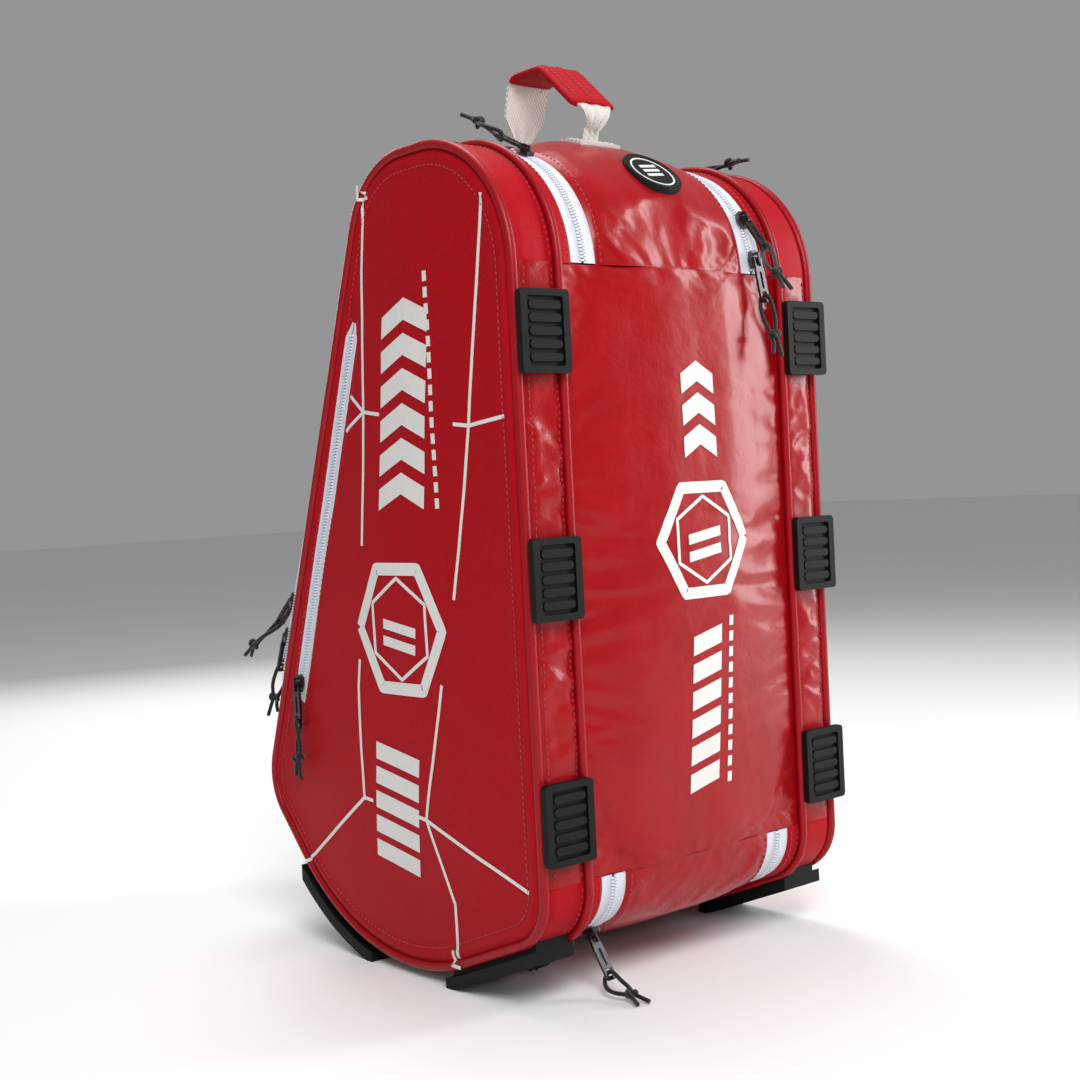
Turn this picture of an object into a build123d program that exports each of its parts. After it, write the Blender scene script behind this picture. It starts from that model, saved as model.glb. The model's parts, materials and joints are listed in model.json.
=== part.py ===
"""Racket tournament bag: a centre compartment between two side compartments with D-shaped doors.

+X is the bag's right, -Y its front and +Z up. The origin is on the floor under the middle of the bag.
Depths are measured back from the front corner line of the gusset, then moved by front_y.
"""
import os
from math import cos, radians, sin, sqrt, tan

from build123d import *

# Overall sizes of the bag's body
width = 288.0  # across the two side panels
depth = 347.0  # front line to the heel corner
height = 583.0  # floor to the crown of the side gussets
pad_front = 8.5  # how far the rubber pads stand in front of the front line
strap_back = 17.0  # how far the straps stand behind the heel corner

# Outline of the gussets, seen from the side
nose_rise = 52.0  # front lower corner above the floor
belly_back = 140.0  # belly corner, in front of the heel corner
belly_drop = -28.0  # belly corner below the floor, before it is rounded
heel_rise = 117.0
hip_rise = 223.0
hip_back = 25.0  # hip corner, in front of the heel corner
crown_depth = 171.0
door_crown_depth = 166.0
door_heel_back = 4.0  # the side door's heel corner, in front of the gusset's
nose_radius = 42.0
belly_radius = 190.0
heel_radius = 45.0
hip_radius = 300.0
crown_radius = 95.0
back_crown_radius = 70.0

# Soft walls
piping_radius = 3.5
seam_piping_radius = 3.0
skin = 3.0  # gusset's outer face, set in from the outline
wall = 3.0
panel_wall = 2.8
gap = 0.15  # half the gap between two moving halves
lining_gap = 0.2

# Across the bag, from the middle plane
zip_x = 82.0
tape = 12.0  # one half of a zipper's tape
seam_piping_x = 107.0
inner_wall_x = 88.0
seam_top = 491.0
seam_low = 85.0
front_zone = 60.0
side_zip_start = 112.0
door_hinge_y = 100.0

# Rubber pads and feet
pad_plate = 5.0
pad_length = 54.0
pad_width = 41.0
pad_rim = 5.5  # rim beside the ribs
pad_recess = 2.6
rib_pitch = 8.4
root_clear = 3.6  # a rubber root's distance from its piping's middle
pad_rises = (418.0, 259.0, 101.0)  # lower edges of the front pads
foot_reach = 12.0
foot_front = 20.0
foot_back = 112.0
belly_clear = 5.0

# Handle
handle_width = 38.0
handle_tape = 2.4
handle_wrap_thick = 5.0
leg_tip = 6.0  # half width of the gathered end of a leg
leg_lift = 8.2
anchor_thick = 2.5

# Shoulder straps
strap_x = 50.0
strap_width = 56.0
strap_thick = 10.0
strap_tape = 2.0
strap_tape_width = 25.0

# Zipper pulls
slider_length = 13.0
slider_width = 9.5
slider_height = 3.5
pull_rise = 5.0  # hinge line above the tape
pull_length = 33.0
pull_thick = 2.0
cord_diameter = 3.0
knot_radius = 4.6
knot_length = 9.0

far_out = 400.0  # beyond every part, for cutting planes
margin = 50.0  # how far a cut runs past the body

front_y = -(depth + strap_back - pad_front) / 2
side_x = width / 2
gusset_x = side_x - 5.0  # outer edge of the gussets, inside the side door's piping


def corner_arc(before, corner, after, radius):
    """Centre, start and end of the arc that rounds a corner."""
    towards = (Vector(before) - Vector(corner)).normalized()
    away = (Vector(after) - Vector(corner)).normalized()
    half = radians(towards.get_angle(away)) / 2
    run = radius / tan(half)
    centre = Vector(corner) + (towards + away).normalized() * (radius / sin(half))
    return centre, Vector(corner) + towards * run, Vector(corner) + away * run


def fitted(radius, before, corner, after, share):
    """The radius, or less where a share of the shorter side is too short for it."""
    towards = Vector(before) - Vector(corner)
    away = Vector(after) - Vector(corner)
    half = radians(towards.get_angle(away)) / 2
    return min(radius, share * min(towards.length, away.length) * tan(half))


def outline_corners(crown_y, heel_y, with_hip):
    """Corners and radii of a side outline, anticlockwise from the nose.

    Each corner's share is how much of its shorter side its arc may take up.
    """
    marks = [
        ((0, nose_rise), nose_radius, 0.19),
        ((depth - belly_back, belly_drop), belly_radius, 0.8),
        ((heel_y, heel_rise), heel_radius, 0.45),
    ]
    if with_hip:
        marks.append(((depth - hip_back, hip_rise), hip_radius, 0.45))
    marks.append(((crown_y, height), back_crown_radius, 0.45))
    marks.append(((0, height), crown_radius, 0.8))
    corners = [corner for corner, radius, share in marks]
    radii = []
    for i, (corner, radius, share) in enumerate(marks):
        after = corners[(i + 1) % len(corners)]
        radii.append(fitted(radius, corners[i - 1], corner, after, share))
    return corners, radii


gusset_corners, gusset_radii = outline_corners(crown_depth, depth, True)
door_corners, door_radii = outline_corners(door_crown_depth, depth - door_heel_back, False)
gusset_outline = (gusset_corners, gusset_radii)
door_outline = (door_corners, door_radii)
belly_centre = corner_arc(*gusset_corners[0:3], gusset_radii[1])[0]
crown_centre = corner_arc(gusset_corners[4], gusset_corners[5], gusset_corners[0], gusset_radii[5])[0]
# The belly's lowest line stands belly_clear above the floor
lift = belly_clear - (belly_centre.Y - gusset_radii[1])


def placed(y, z):
    """A point of the outline's own plane, moved to the bag's frame."""
    return (y + front_y, z + lift)


def side_face(x, outline, inset):
    """The outline as a face at x, set in all round."""
    corners, radii = outline
    with BuildSketch(Plane.YZ.offset(x)) as face:
        with BuildLine():
            FilletPolyline(*[placed(*c) for c in corners], radius=radii, close=True)
        make_face()
        if inset:
            offset(amount=-inset)
    return face.sketch


def window(y_low, y_high, z_low, z_high, x_low=-far_out, x_high=far_out, mode=Mode.INTERSECT):
    """Keeps, or cuts, what is between the given planes."""
    y_low, y_high = y_low + front_y, y_high + front_y
    with Locations(((x_low + x_high) / 2, (y_low + y_high) / 2, (z_low + z_high) / 2)):
        Box(x_high - x_low, y_high - y_low, z_high - z_low, mode=mode)


def low_edge(sign, near, far):
    """The lower x of a span given by its distances from the middle plane."""
    return near if sign > 0 else -far


def wrap(sign, near, far, outer=skin, inner=skin + wall):
    """A closed ring of gusset fabric between two distances from the middle plane."""
    x = low_edge(sign, near, far)
    extrude(side_face(x, gusset_outline, outer), amount=far - near)
    extrude(side_face(x, gusset_outline, inner), amount=far - near, mode=Mode.SUBTRACT)


def cut_front():
    """Takes out the glossy front, between the two cross seams."""
    window(-margin, front_zone, seam_low, seam_top, mode=Mode.SUBTRACT)


def tube(line, radius):
    """A round tube along a line."""
    with BuildSketch(Plane(origin=line @ 0, z_dir=line % 0)) as ring:
        Circle(radius)
    sweep(ring.sketch, path=line)


def outline_line(x, outline, inset):
    """The edge of the set-in outline, as one closed line that starts on the front edge."""
    return side_face(x, outline, inset).faces()[0].outer_wire()


def save(piece, name):
    """Labels a finished piece and writes its STEP file."""
    piece.part.label = name
    export_step(piece.part, f"parts/{name}.step")


os.makedirs("parts", exist_ok=True)
core_edge = zip_x - gap
wing_edge = zip_x + gap
tape_edge = zip_x - tape

# Centre compartment
with BuildPart() as front_panel:
    wrap(1, -core_edge, core_edge)
    window(-margin, front_zone, seam_low, seam_top)
save(front_panel, "front_panel")

with BuildPart() as back_panel:
    wrap(1, -tape_edge, tape_edge)
    window(front_zone, depth + margin, seam_low, seam_top)
save(back_panel, "back_panel")

with BuildPart() as base_panel:
    wrap(1, -tape_edge, tape_edge)
    window(-margin, depth + margin, -margin, seam_low)
save(base_panel, "base_panel")

# The top panel is crowned between the two centre zippers
crown_low = (58.0, height - 17.0)
crown_top = (131.0, height + 17.0)
crown_far = (202.0, height - 42.0)
crown_half = 35.0
with BuildSketch(Plane.YZ.offset(-crown_half)) as crown_face:
    with BuildLine():
        ThreePointArc(*[(y + front_y, z) for y, z in (crown_low, crown_top, crown_far)])
        Line(
            (crown_low[0] + front_y, crown_low[1]),
            (crown_far[0] + front_y, crown_far[1]),
        )
    make_face()
with BuildPart() as top_panel:
    wrap(1, -tape_edge, tape_edge)
    extrude(crown_face.sketch, amount=2 * crown_half)
    extrude(side_face(-tape_edge, gusset_outline, skin + wall), amount=2 * tape_edge, mode=Mode.SUBTRACT)
    window(-margin, depth + margin, seam_top, height + 2 * margin)
save(top_panel, "top_panel")

# Padded divider in the middle of the centre compartment
with BuildPart() as centre_divider:
    extrude(side_face(-1.5, gusset_outline, skin + wall + lining_gap), amount=3.0)
save(centre_divider, "centre_divider")

with BuildPart() as centre_zip_tapes:
    wrap(1, tape_edge, core_edge)
    wrap(-1, tape_edge, core_edge)
    cut_front()
save(centre_zip_tapes, "centre_zip_tapes")


def crown_arc_point(degrees_up, radius):
    """A point off the front crown, by its angle above the horizontal."""
    angle = radians(degrees_up)
    return (crown_centre.X - radius * cos(angle), crown_centre.Y + radius * sin(angle))


def plane_at(x, point, along, out):
    """A plane at a point of the outline: x_dir along, z_dir outward, both as (y, z)."""
    y, z = placed(*point)
    return Plane(origin=(x, y, z), x_dir=(0, *along), z_dir=(0, *out))


def turned(direction, degrees_turn):
    """A (y, z) direction turned anticlockwise, seen along -X."""
    angle = radians(degrees_turn)
    y, z = direction
    return (y * cos(angle) - z * sin(angle), y * sin(angle) + z * cos(angle))


# Round rubber badge on the front crown
badge_angle = 48.0
badge_radius = 23.0
crown_skin = gusset_radii[5] - skin
badge_out = (-cos(radians(badge_angle)), sin(radians(badge_angle)))
badge_plane = plane_at(
    10.0, crown_arc_point(badge_angle, crown_skin + 0.2), turned(badge_out, 90), badge_out
)
with BuildPart() as top_badge:
    with BuildSketch(badge_plane):
        Circle(badge_radius)
    extrude(amount=2.4)
    with BuildSketch(badge_plane.offset(2.4)):
        Circle(badge_radius)
        Circle(badge_radius - 2.5, mode=Mode.SUBTRACT)
    extrude(amount=0.6)
save(top_badge, "top_badge")

# Sewn webbing: the handle's two anchor patches and the straps' end tapes
crown_curve = ThreePointArc(crown_low, crown_top, crown_far)
crown_mid = crown_curve.arc_center
crown_bend = crown_curve.radius


def crown_height(y, rise=0.0):
    """Height of the crowned top panel at a depth."""
    return crown_mid.Y + sqrt((crown_bend + rise) ** 2 - (y - crown_mid.X) ** 2)


front_anchor = (68.0, 92.0)
back_anchor = (147.0, 173.0)
front_leg = 79.0
back_leg = 160.0
strap_top_points = [
    (112.0, height + 2.4), (140.0, height + 13.0), (166.0, height + 21.0), (186.0, height + 8.0),
    (204.0, height - 50.0),
]


def slant_depth(z):
    """Depth of the gusset outline's straight upper back at a height."""
    (low_y, low_z), (high_y, high_z) = gusset_corners[3], gusset_corners[4]
    share = (z - lift - low_z) / (high_z - low_z)
    return low_y + share * (high_y - low_y)


def band_face(x, points, radii, thickness):
    """A strip of even thickness that follows rounded corners, as a face at x."""
    with BuildSketch(Plane.YZ.offset(x)) as face:
        with BuildLine() as line:
            FilletPolyline(*[(y + front_y, z) for y, z in points], radius=radii)
        trace(line.line, thickness)
    return face.sketch


pad_points = [
    (slant_depth(528.0) + 12.0, 528.0),
    (slant_depth(440.0) + 24.0, 440.0),
    (slant_depth(320.0) + 28.0, 320.0),
    (slant_depth(228.0) + 22.0, 228.0),
]
adjuster_rise = 200.0
adjuster_depth = slant_depth(214.0) + 22.0
low_tape_points = [
    (adjuster_depth + 2.0, 189.5), (depth + 6.0, 150.0), (depth + 7.0, 105.0), (depth - 8.0, 74.0),
    (depth - 34.0, 46.0),
]
tail_points = [
    (adjuster_depth + 6.0, 189.5), (depth + 12.0, 150.0), (depth + 14.5, 70.0), (depth + 6.0, 7.0),
]
with BuildPart() as sewn_webbing:
    for y_low, y_high in (front_anchor, back_anchor):
        with BuildSketch(Plane.YZ.offset(-handle_width / 2)) as patch:
            with Locations((crown_mid.X + front_y, crown_mid.Y)):
                Circle(crown_bend + anchor_thick)
                Circle(crown_bend + 0.05, mode=Mode.SUBTRACT)
            with Locations(((y_low + y_high) / 2 + front_y, height)):
                Rectangle(y_high - y_low, 120.0, mode=Mode.INTERSECT)
        extrude(patch.sketch, amount=handle_width)
    extrude(
        side_face(-handle_width / 2, gusset_outline, skin - 0.05), amount=handle_width, mode=Mode.SUBTRACT
    )
    for side in (-1, 1):
        x_low = side * strap_x - strap_tape_width / 2
        extrude(band_face(x_low, strap_top_points, (20, 16, 22), strap_tape), amount=strap_tape_width)
        extrude(band_face(x_low, low_tape_points, (30, 24, 24), strap_tape), amount=strap_tape_width)
        extrude(band_face(x_low, tail_points, (40, 60), strap_tape), amount=strap_tape_width)
save(sewn_webbing, "sewn_webbing")

with BuildPart() as shoulder_straps:
    for side in (-1, 1):
        x_low = side * strap_x - strap_width / 2
        extrude(band_face(x_low, pad_points, (200, 260), strap_thick), amount=strap_width)
    fillet(shoulder_straps.edges().filter_by(Axis.X).group_by(Axis.Z)[0], 3.0)
save(shoulder_straps, "shoulder_straps")

# Ladder-lock adjusters between the pads and the lower tapes
with BuildPart() as strap_adjusters:
    for side in (-1, 1):
        with Locations((side * strap_x, adjuster_depth + front_y, adjuster_rise)):
            Box(strap_tape_width + 12, 6.0, 20.0)
        for rise in (-5.5, 5.5):
            with Locations((side * strap_x, adjuster_depth + front_y, adjuster_rise + rise)):
                Box(strap_tape_width + 3, 8.0, 4.5, mode=Mode.SUBTRACT)
save(strap_adjusters, "strap_adjusters")

# Handle: gathered webbing legs and a fabric wrap over the middle
front_foot = (front_leg, crown_height(front_leg, anchor_thick) + leg_lift)
back_foot = (back_leg, crown_height(back_leg, anchor_thick) + leg_lift)
handle_points = [
    front_foot, (66.0, height + 27.0), (110.0, height + 68.0), (146.0, height + 68.0), back_foot,
]
handle_bends = (9.0, 14.0, 12.0)
wrap_reach = (66.0, 145.0)
with BuildSketch(Plane.XZ.offset(200)) as leg_shape:
    with BuildLine():
        Polyline(
            (-leg_tip, front_foot[1] - 20), (leg_tip, front_foot[1] - 20), (leg_tip, back_foot[1] + 1),
            (handle_width / 2, back_foot[1] + 22), (handle_width / 2, height + 120),
            (-handle_width / 2, height + 120), (-handle_width / 2, back_foot[1] + 22),
            (-leg_tip, back_foot[1] + 1), close=True,
        )
    make_face()
with BuildPart() as handle_webbing:
    extrude(band_face(-handle_width / 2, handle_points, handle_bends, handle_tape), amount=handle_width)
    extrude(leg_shape.sketch, amount=-400, mode=Mode.INTERSECT)
save(handle_webbing, "handle_webbing")

with BuildPart() as handle_wrap:
    extrude(
        band_face(-handle_width / 2 - 1.5, handle_points, handle_bends, handle_wrap_thick + handle_tape),
        amount=handle_width + 3.0,
    )
    window(wrap_reach[0], wrap_reach[1], height + 34.0, height + 120.0)
    extrude(
        band_face(-handle_width / 2 - 1.0, handle_points, handle_bends, handle_tape + 0.2),
        amount=handle_width + 2.0,
        mode=Mode.SUBTRACT,
    )
save(handle_wrap, "handle_wrap")


def foot_slab(sign, near, far, inner, outer, y_low, y_high):
    """A slab of a base foot that follows the outline, between two distances from the middle plane."""
    with BuildPart() as slab:
        x = low_edge(sign, near, far)
        extrude(side_face(x, gusset_outline, outer), amount=far - near)
        extrude(side_face(x, gusset_outline, inner), amount=far - near, mode=Mode.SUBTRACT)
        window(y_low, y_high, 0, seam_low)
    return slab.part


def foot_slabs(sign, y_low, y_high):
    """A rubber base foot: a narrow root between the pipings and a wide, flat-ended sole."""
    root_near, root_far = seam_piping_x + root_clear, gusset_x - 0.6
    sole_near, sole_far = seam_piping_x - 1.0, side_x + 2.0
    sole_top = -seam_piping_radius - 0.5
    root = foot_slab(sign, root_near, root_far, skin, sole_top - 0.1, y_low, y_high)
    sole = foot_slab(sign, sole_near, sole_far, sole_top, -foot_reach, y_low, y_high)
    return [root, sole]


def front_pad(sign, rise):
    """A ribbed rubber pad on the front of a gusset, with a root between the pipings."""
    near, far = seam_piping_x - 1.0, seam_piping_x - 1.0 + pad_width
    root_near, root_far = seam_piping_x + root_clear, gusset_x - 0.6
    plate_back = -seam_piping_radius - 0.4
    middle = rise + pad_length / 2
    with Locations((sign * (root_near + root_far) / 2, front_y + (plate_back + skin) / 2, middle)):
        Box(root_far - root_near, skin - plate_back, pad_length - 8.0)
    centre = (sign * (near + far) / 2, front_y + plate_back, middle)
    face = Plane(origin=centre, x_dir=(1, 0, 0), z_dir=(0, -1, 0))
    with BuildSketch(face) as plate:
        RectangleRounded(pad_width, pad_length, 3.0)
    extrude(plate.sketch, amount=pad_plate)
    with BuildSketch(face.offset(pad_plate - pad_recess)) as recess:
        RectangleRounded(pad_width - 2 * pad_rim, pad_length - 9.0, 2.0)
    extrude(recess.sketch, amount=pad_recess + 0.4, mode=Mode.SUBTRACT)
    with BuildSketch(face.offset(pad_plate - pad_recess - 0.2)) as ribs:
        with GridLocations(0, rib_pitch, 1, 5):
            SlotOverall(pad_width - 2 * pad_rim - 3.0, 5.4)
    extrude(ribs.sketch, amount=pad_recess - 0.2)


for side, sign in (("left", -1), ("right", 1)):
    with BuildPart() as gusset_front:
        wrap(sign, wing_edge, gusset_x)
        window(-margin, front_zone, seam_low, seam_top)
    save(gusset_front, f"{side}_gusset_front")

    with BuildPart() as gusset_wrap:
        wrap(sign, zip_x + tape, gusset_x)
        cut_front()
        tape_low = low_edge(sign, gusset_x - tape, gusset_x + 1)
        window(
            side_zip_start, depth + margin, -margin, height + margin, tape_low, tape_low + tape + 1,
            mode=Mode.SUBTRACT,
        )
    save(gusset_wrap, f"{side}_gusset_wrap")

    with BuildPart() as inner_wall:
        x = low_edge(sign, inner_wall_x, inner_wall_x + wall)
        extrude(side_face(x, gusset_outline, skin + wall + lining_gap), amount=wall)
    save(inner_wall, f"{side}_inner_wall")

    with BuildPart() as side_tape:
        wrap(sign, gusset_x - tape, gusset_x)
        window(side_zip_start, depth + margin, -margin, height + margin)
    with BuildPart() as zip_tapes:
        wrap(sign, wing_edge, zip_x + tape)
        cut_front()
        add(side_tape.part)
    save(zip_tapes, f"{side}_zip_tapes")

    with BuildPart() as seam_piping:
        tube(outline_line(sign * seam_piping_x, gusset_outline, 0.0), seam_piping_radius)
    save(seam_piping, f"{side}_seam_piping")

    # The rear foot mirrors the front one about the belly's lowest line
    rear_front, rear_back = 2 * belly_centre.X - foot_back, 2 * belly_centre.X - foot_front
    slabs = foot_slabs(sign, foot_front, foot_back) + foot_slabs(sign, rear_front, rear_back)
    with BuildPart() as rubber_feet:
        for rise in pad_rises:
            front_pad(sign, rise)
        add(slabs)
    save(rubber_feet, f"{side}_rubber_feet")

    # The side panel's front strip is sewn to the gusset; the rest of it is the door
    panel_x = low_edge(sign, side_x - panel_wall, side_x)
    piping_x = sign * (side_x - 1.4)
    with BuildPart() as side_disc:
        extrude(side_face(panel_x, door_outline, 2 * piping_radius + 0.05), amount=panel_wall)
    with BuildPart() as side_tube:
        tube(outline_line(piping_x, door_outline, piping_radius), piping_radius)
    with BuildPart() as panel_front:
        add(side_disc.part)
        add(side_tube.part)
        window(-margin, door_hinge_y - gap, -margin, height + margin)
    save(panel_front, f"{side}_panel_front")

    with BuildPart() as side_panel:
        add(side_disc.part)
        window(door_hinge_y + gap, depth + margin, -margin, height + margin)
    save(side_panel, f"{side}_side_panel")

    with BuildPart() as door_piping:
        add(side_tube.part)
        window(door_hinge_y + gap, depth + margin, -margin, height + margin)
    save(door_piping, f"{side}_door_piping")

    with BuildPart() as door_tape:
        x = low_edge(sign, gusset_x + 0.3, gusset_x + 1.5)
        extrude(side_face(x, gusset_outline, 1.0), amount=1.2)
        extrude(side_face(x, door_outline, -0.1), amount=1.2, mode=Mode.SUBTRACT)
        window(door_hinge_y + 20.0, depth + margin, 60.0, height + margin)
    save(door_tape, f"{side}_door_tape")


def slider_body(base, bridge):
    """A zipper slider: a wedge body on the tape and a wire bridge over the hinge of its puller."""
    with BuildPart() as slider:
        with BuildSketch(base.offset(0.3)) as foot:
            with BuildLine():
                Polyline(
                    (-slider_length / 2, -slider_width / 2 + 1.5), (0, -slider_width / 2),
                    (slider_length / 2, -slider_width / 2 + 2.2), (slider_length / 2, slider_width / 2 - 2.2),
                    (0, slider_width / 2), (-slider_length / 2, slider_width / 2 - 1.5), close=True,
                )
            make_face()
            fillet(foot.vertices(), 1.2)
        extrude(foot.sketch, amount=slider_height)
        post = Plane(origin=bridge.origin, x_dir=bridge.x_dir, z_dir=-bridge.y_dir)
        with BuildSketch(post.offset(-0.8)) as arch:
            with Locations((0, 5.3)):
                RectangleRounded(9.2, 4.7, 1.4)
            with Locations((0, 5.0)):
                RectangleRounded(6.2, 2.8, 1.0, mode=Mode.SUBTRACT)
        extrude(arch.sketch, amount=1.6)
    return slider


def puller_plate(hang):
    """A flat puller: a hinge bar, a window for the bridge, a slotted blade and a cord slot."""
    half = pull_thick / 2
    with BuildPart() as puller:
        with BuildSketch(hang.offset(-half)) as blade:
            with BuildLine():
                Polyline(
                    (0, -3.8), (6.5, -3.8), (9.5, -4.3), (pull_length - 2, -4.3), (pull_length, -2.6),
                    (pull_length, 2.6), (pull_length - 2, 4.3), (9.5, 4.3), (6.5, 3.8), (0, 3.8), close=True,
                )
            make_face()
            with Locations((3.3, 0)):
                Rectangle(5.4, 4.6, mode=Mode.SUBTRACT)
            with Locations((16.5, 0)):
                SlotOverall(13.0, 2.2, mode=Mode.SUBTRACT)
            with Locations((cord_slot, 0)):
                RectangleRounded(5.4, 5.2, 1.0, mode=Mode.SUBTRACT)
        extrude(blade.sketch, amount=pull_thick)
        bar = Plane(origin=hang.origin, x_dir=hang.x_dir, z_dir=hang.y_dir)
        with BuildSketch(bar.offset(-3.8)) as eye:
            Circle(half)
        extrude(eye.sketch, amount=7.6)
    return puller


def cord_pull(name, hang, points, knot):
    """A cord loop through the puller's slot, with its knot and two loose ends; prints its bends."""
    route = [hang.from_local_coords(Vector(*p)) for p in points]
    radii = []
    for i in range(1, len(route) - 1):
        before, after = route[i - 1] - route[i], route[i + 1] - route[i]
        turn = radians(180 - before.get_angle(after))
        radii.append(0.45 * min(before.length, after.length) / tan(turn / 2))
    with BuildLine() as line:
        FilletPolyline(*route, radius=radii)
    with BuildPart() as cord:
        middle = Plane(origin=hang.from_local_coords(Vector(*knot)), z_dir=hang.x_dir)
        with BuildSketch(middle.offset(-knot_length / 2)) as end:
            Circle(knot_radius)
        extrude(end.sketch, amount=knot_length)
        fillet(cord.edges(), 2.2)
        tube(line.wire(), cord_diameter / 2)
    bends = ", ".join(f"{radius:.1f}" for radius in radii)
    print(f"{name}_cord: length {line.wire().length:.1f} mm, bend radii {bends} mm")
    return cord


cord_slot = 27.6
strand = 3.3  # a strand's middle, off the puller's own middle
# Routes in each puller's own frame: down along it, across it, and out from it.
# From the first loose end through the knot, up through the slot and back down.
long_loop = [
    (74, 3.6, 2.4), (66, 2.2, 3.0), (57, 1.7, 1.8), (47.5, 4.6, 2.2), (38, 3.4, 3.2),
    (cord_slot, 0.4, strand),
    (cord_slot, -0.4, -strand), (37, -3.6, -2.6), (47, -4.8, -0.4), (56.5, -1.7, 1.2), (65, -2.4, 2.6),
    (71, -4.4, 2.0),
]
long_knot = (57.5, 0, 2.2)
side_loop = [
    (75, -7.0, 3.0), (67, -8.6, 3.6), (58, -9.0, 2.4), (48, -4.6, 2.8), (37.5, -0.6, 3.6),
    (cord_slot, 0.4, strand),
    (cord_slot, -0.4, -strand), (36.5, -5.0, -2.4), (46.5, -11.4, -0.8), (57, -12.2, 1.4), (66, -12.0, 3.0),
    (72.5, -14.0, 2.4),
]
side_knot = (58, -10.6, 2.4)
# Routes that end on the floor, from the slot: down, across, and forward or back along the floor
fore_loop = [
    (13.8, 4.6, 34), (12.2, 3.0, 28), (10.4, 1.7, 21), (8.0, 4.6, 14), (4.6, 3.4, 7.6), (-1.85, 0.4, 2.75),
    (1.85, -0.4, -2.75), (7.4, -3.6, -1.2), (10.4, -5.4, 5), (10.9, -4.6, 13), (10.4, -1.7, 20.6),
    (12.4, -3.0, 27.5), (13.8, -5.0, 32.5),
]
fore_knot = (10.2, 0, 20.8)
aft_loop = [
    (13.4, 4.6, 31), (12.0, 3.0, 25.5), (10.2, 1.7, 19), (9.0, 4.2, 12.4), (6.2, 3.4, 5), (2.75, 0.4, -1.85),
    (-2.75, -0.4, 1.85), (-0.8, -3.6, 8.6), (4.8, -4.6, 13.4), (10.0, -1.7, 19.4), (12.0, -3.0, 26),
    (13.4, -5.0, 30.5),
]
aft_knot = (9.8, 0, 19.2)

back_run = (Vector(gusset_corners[4]) - Vector(gusset_corners[3])).normalized()
back_up = (back_run.X, back_run.Y)
back_out = turned(back_up, -90)
base_run = (Vector(gusset_corners[1]) - Vector(gusset_corners[0])).normalized()
base_back = (base_run.X, base_run.Y)
base_out = turned(base_back, -90)


def on_back(z):
    """A point of the gusset's skin on the straight upper back, at a height."""
    return (slant_depth(z) - skin * back_out[0], z - lift - skin * back_out[1])


def on_base(y):
    """A point of the gusset's skin on the straight run under the nose, at a depth."""
    return (y, nose_rise + y * base_back[1] / base_back[0] - skin * base_out[1])


def crown_base(x, degrees_up, clear=0.0):
    """A slider's base plane on the front crown; x_dir runs up the arc."""
    out = (-cos(radians(degrees_up)), sin(radians(degrees_up)))
    return plane_at(x, crown_arc_point(degrees_up, crown_skin + clear), turned(out, -90), out)


left_chain, right_chain = -zip_x, zip_x
side_chain = gusset_x - 5.2
top_out = (0.0, 1.0)
pocket_top = (183.0, 470.0)
pocket_end = (286.0, 190.0)
pocket_run = (Vector(pocket_top) - Vector(pocket_end)).normalized()
pocket_up = (pocket_run.X, pocket_run.Y)
pocket_middle = (Vector(pocket_top) + Vector(pocket_end)) / 2
pocket_tape = 14.0
pocket_thick = 1.2
pocket_skin = side_x + 0.1 + pocket_thick
# The wing's tape rises by this much past a parked slider as the wing swings open
swing_clear = 1.5

# name: slider's base plane, the puller's direction as (y, z), its outward side, and its cord
pulls = {}


def gusset_pull(name, base, hang, out, route, knot, floor_way=None):
    """One pull on a gusset zipper; floor_way is the y its cord runs along the floor in."""
    hinge = base.origin + base.z_dir * pull_rise
    plate = Plane(origin=hinge, x_dir=(0, *hang), z_dir=(0, *out))
    cord_plane = plate
    if floor_way:
        cord_plane = Plane(origin=hinge + plate.x_dir * cord_slot, x_dir=(0, 0, -1), z_dir=(0, floor_way, 0))
    pulls[name] = (base, base, plate, cord_plane, route, knot)


back_down = (-back_up[0], -back_up[1])
upper_hang = turned(back_down, 26)
lower_hang = back_down
gusset_pull(
    "left_side_upper", plane_at(-side_chain, on_back(266.0), back_up, back_out),
    upper_hang, turned(upper_hang, 90), [(x, -y, z) for x, y, z in side_loop],
    (side_knot[0], -side_knot[1], side_knot[2]),
)
gusset_pull(
    "left_side_lower", plane_at(-side_chain, on_back(238.0), back_up, back_out),
    lower_hang, back_out, long_loop, long_knot,
)
front_hang = turned((0, -1), -34)
gusset_pull(
    "left_base_front", plane_at(left_chain, on_base(30.0), base_back, base_out),
    front_hang, turned(front_hang, -90), fore_loop, fore_knot, -1,
)
rear_hang = turned((0, -1), 56)
gusset_pull(
    "left_base_rear", plane_at(left_chain, on_base(54.0), base_back, base_out),
    rear_hang, turned(rear_hang, -90), aft_loop, aft_knot, 1,
)
gusset_pull(
    "left_top", crown_base(left_chain, 66.0), turned((1, 0), 27), turned((0, 1), 27), None, None,
)
upper_front = turned((0, -1), -37)
gusset_pull(
    "right_centre_upper", crown_base(right_chain, 27.0, swing_clear),
    upper_front, turned(upper_front, -90), side_loop, side_knot,
)
lower_front = turned((0, -1), -11)
gusset_pull(
    "right_centre_lower", crown_base(right_chain, 8.0, swing_clear),
    lower_front, turned(lower_front, -90), long_loop, long_knot,
)
back_crown_centre = corner_arc(*gusset_corners[3:6], gusset_radii[4])[0]
gusset_pull(
    "right_side", plane_at(side_chain, (back_crown_centre.X, height - skin), (1, 0), top_out),
    (-1, 0), top_out, None, None,
)
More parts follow.
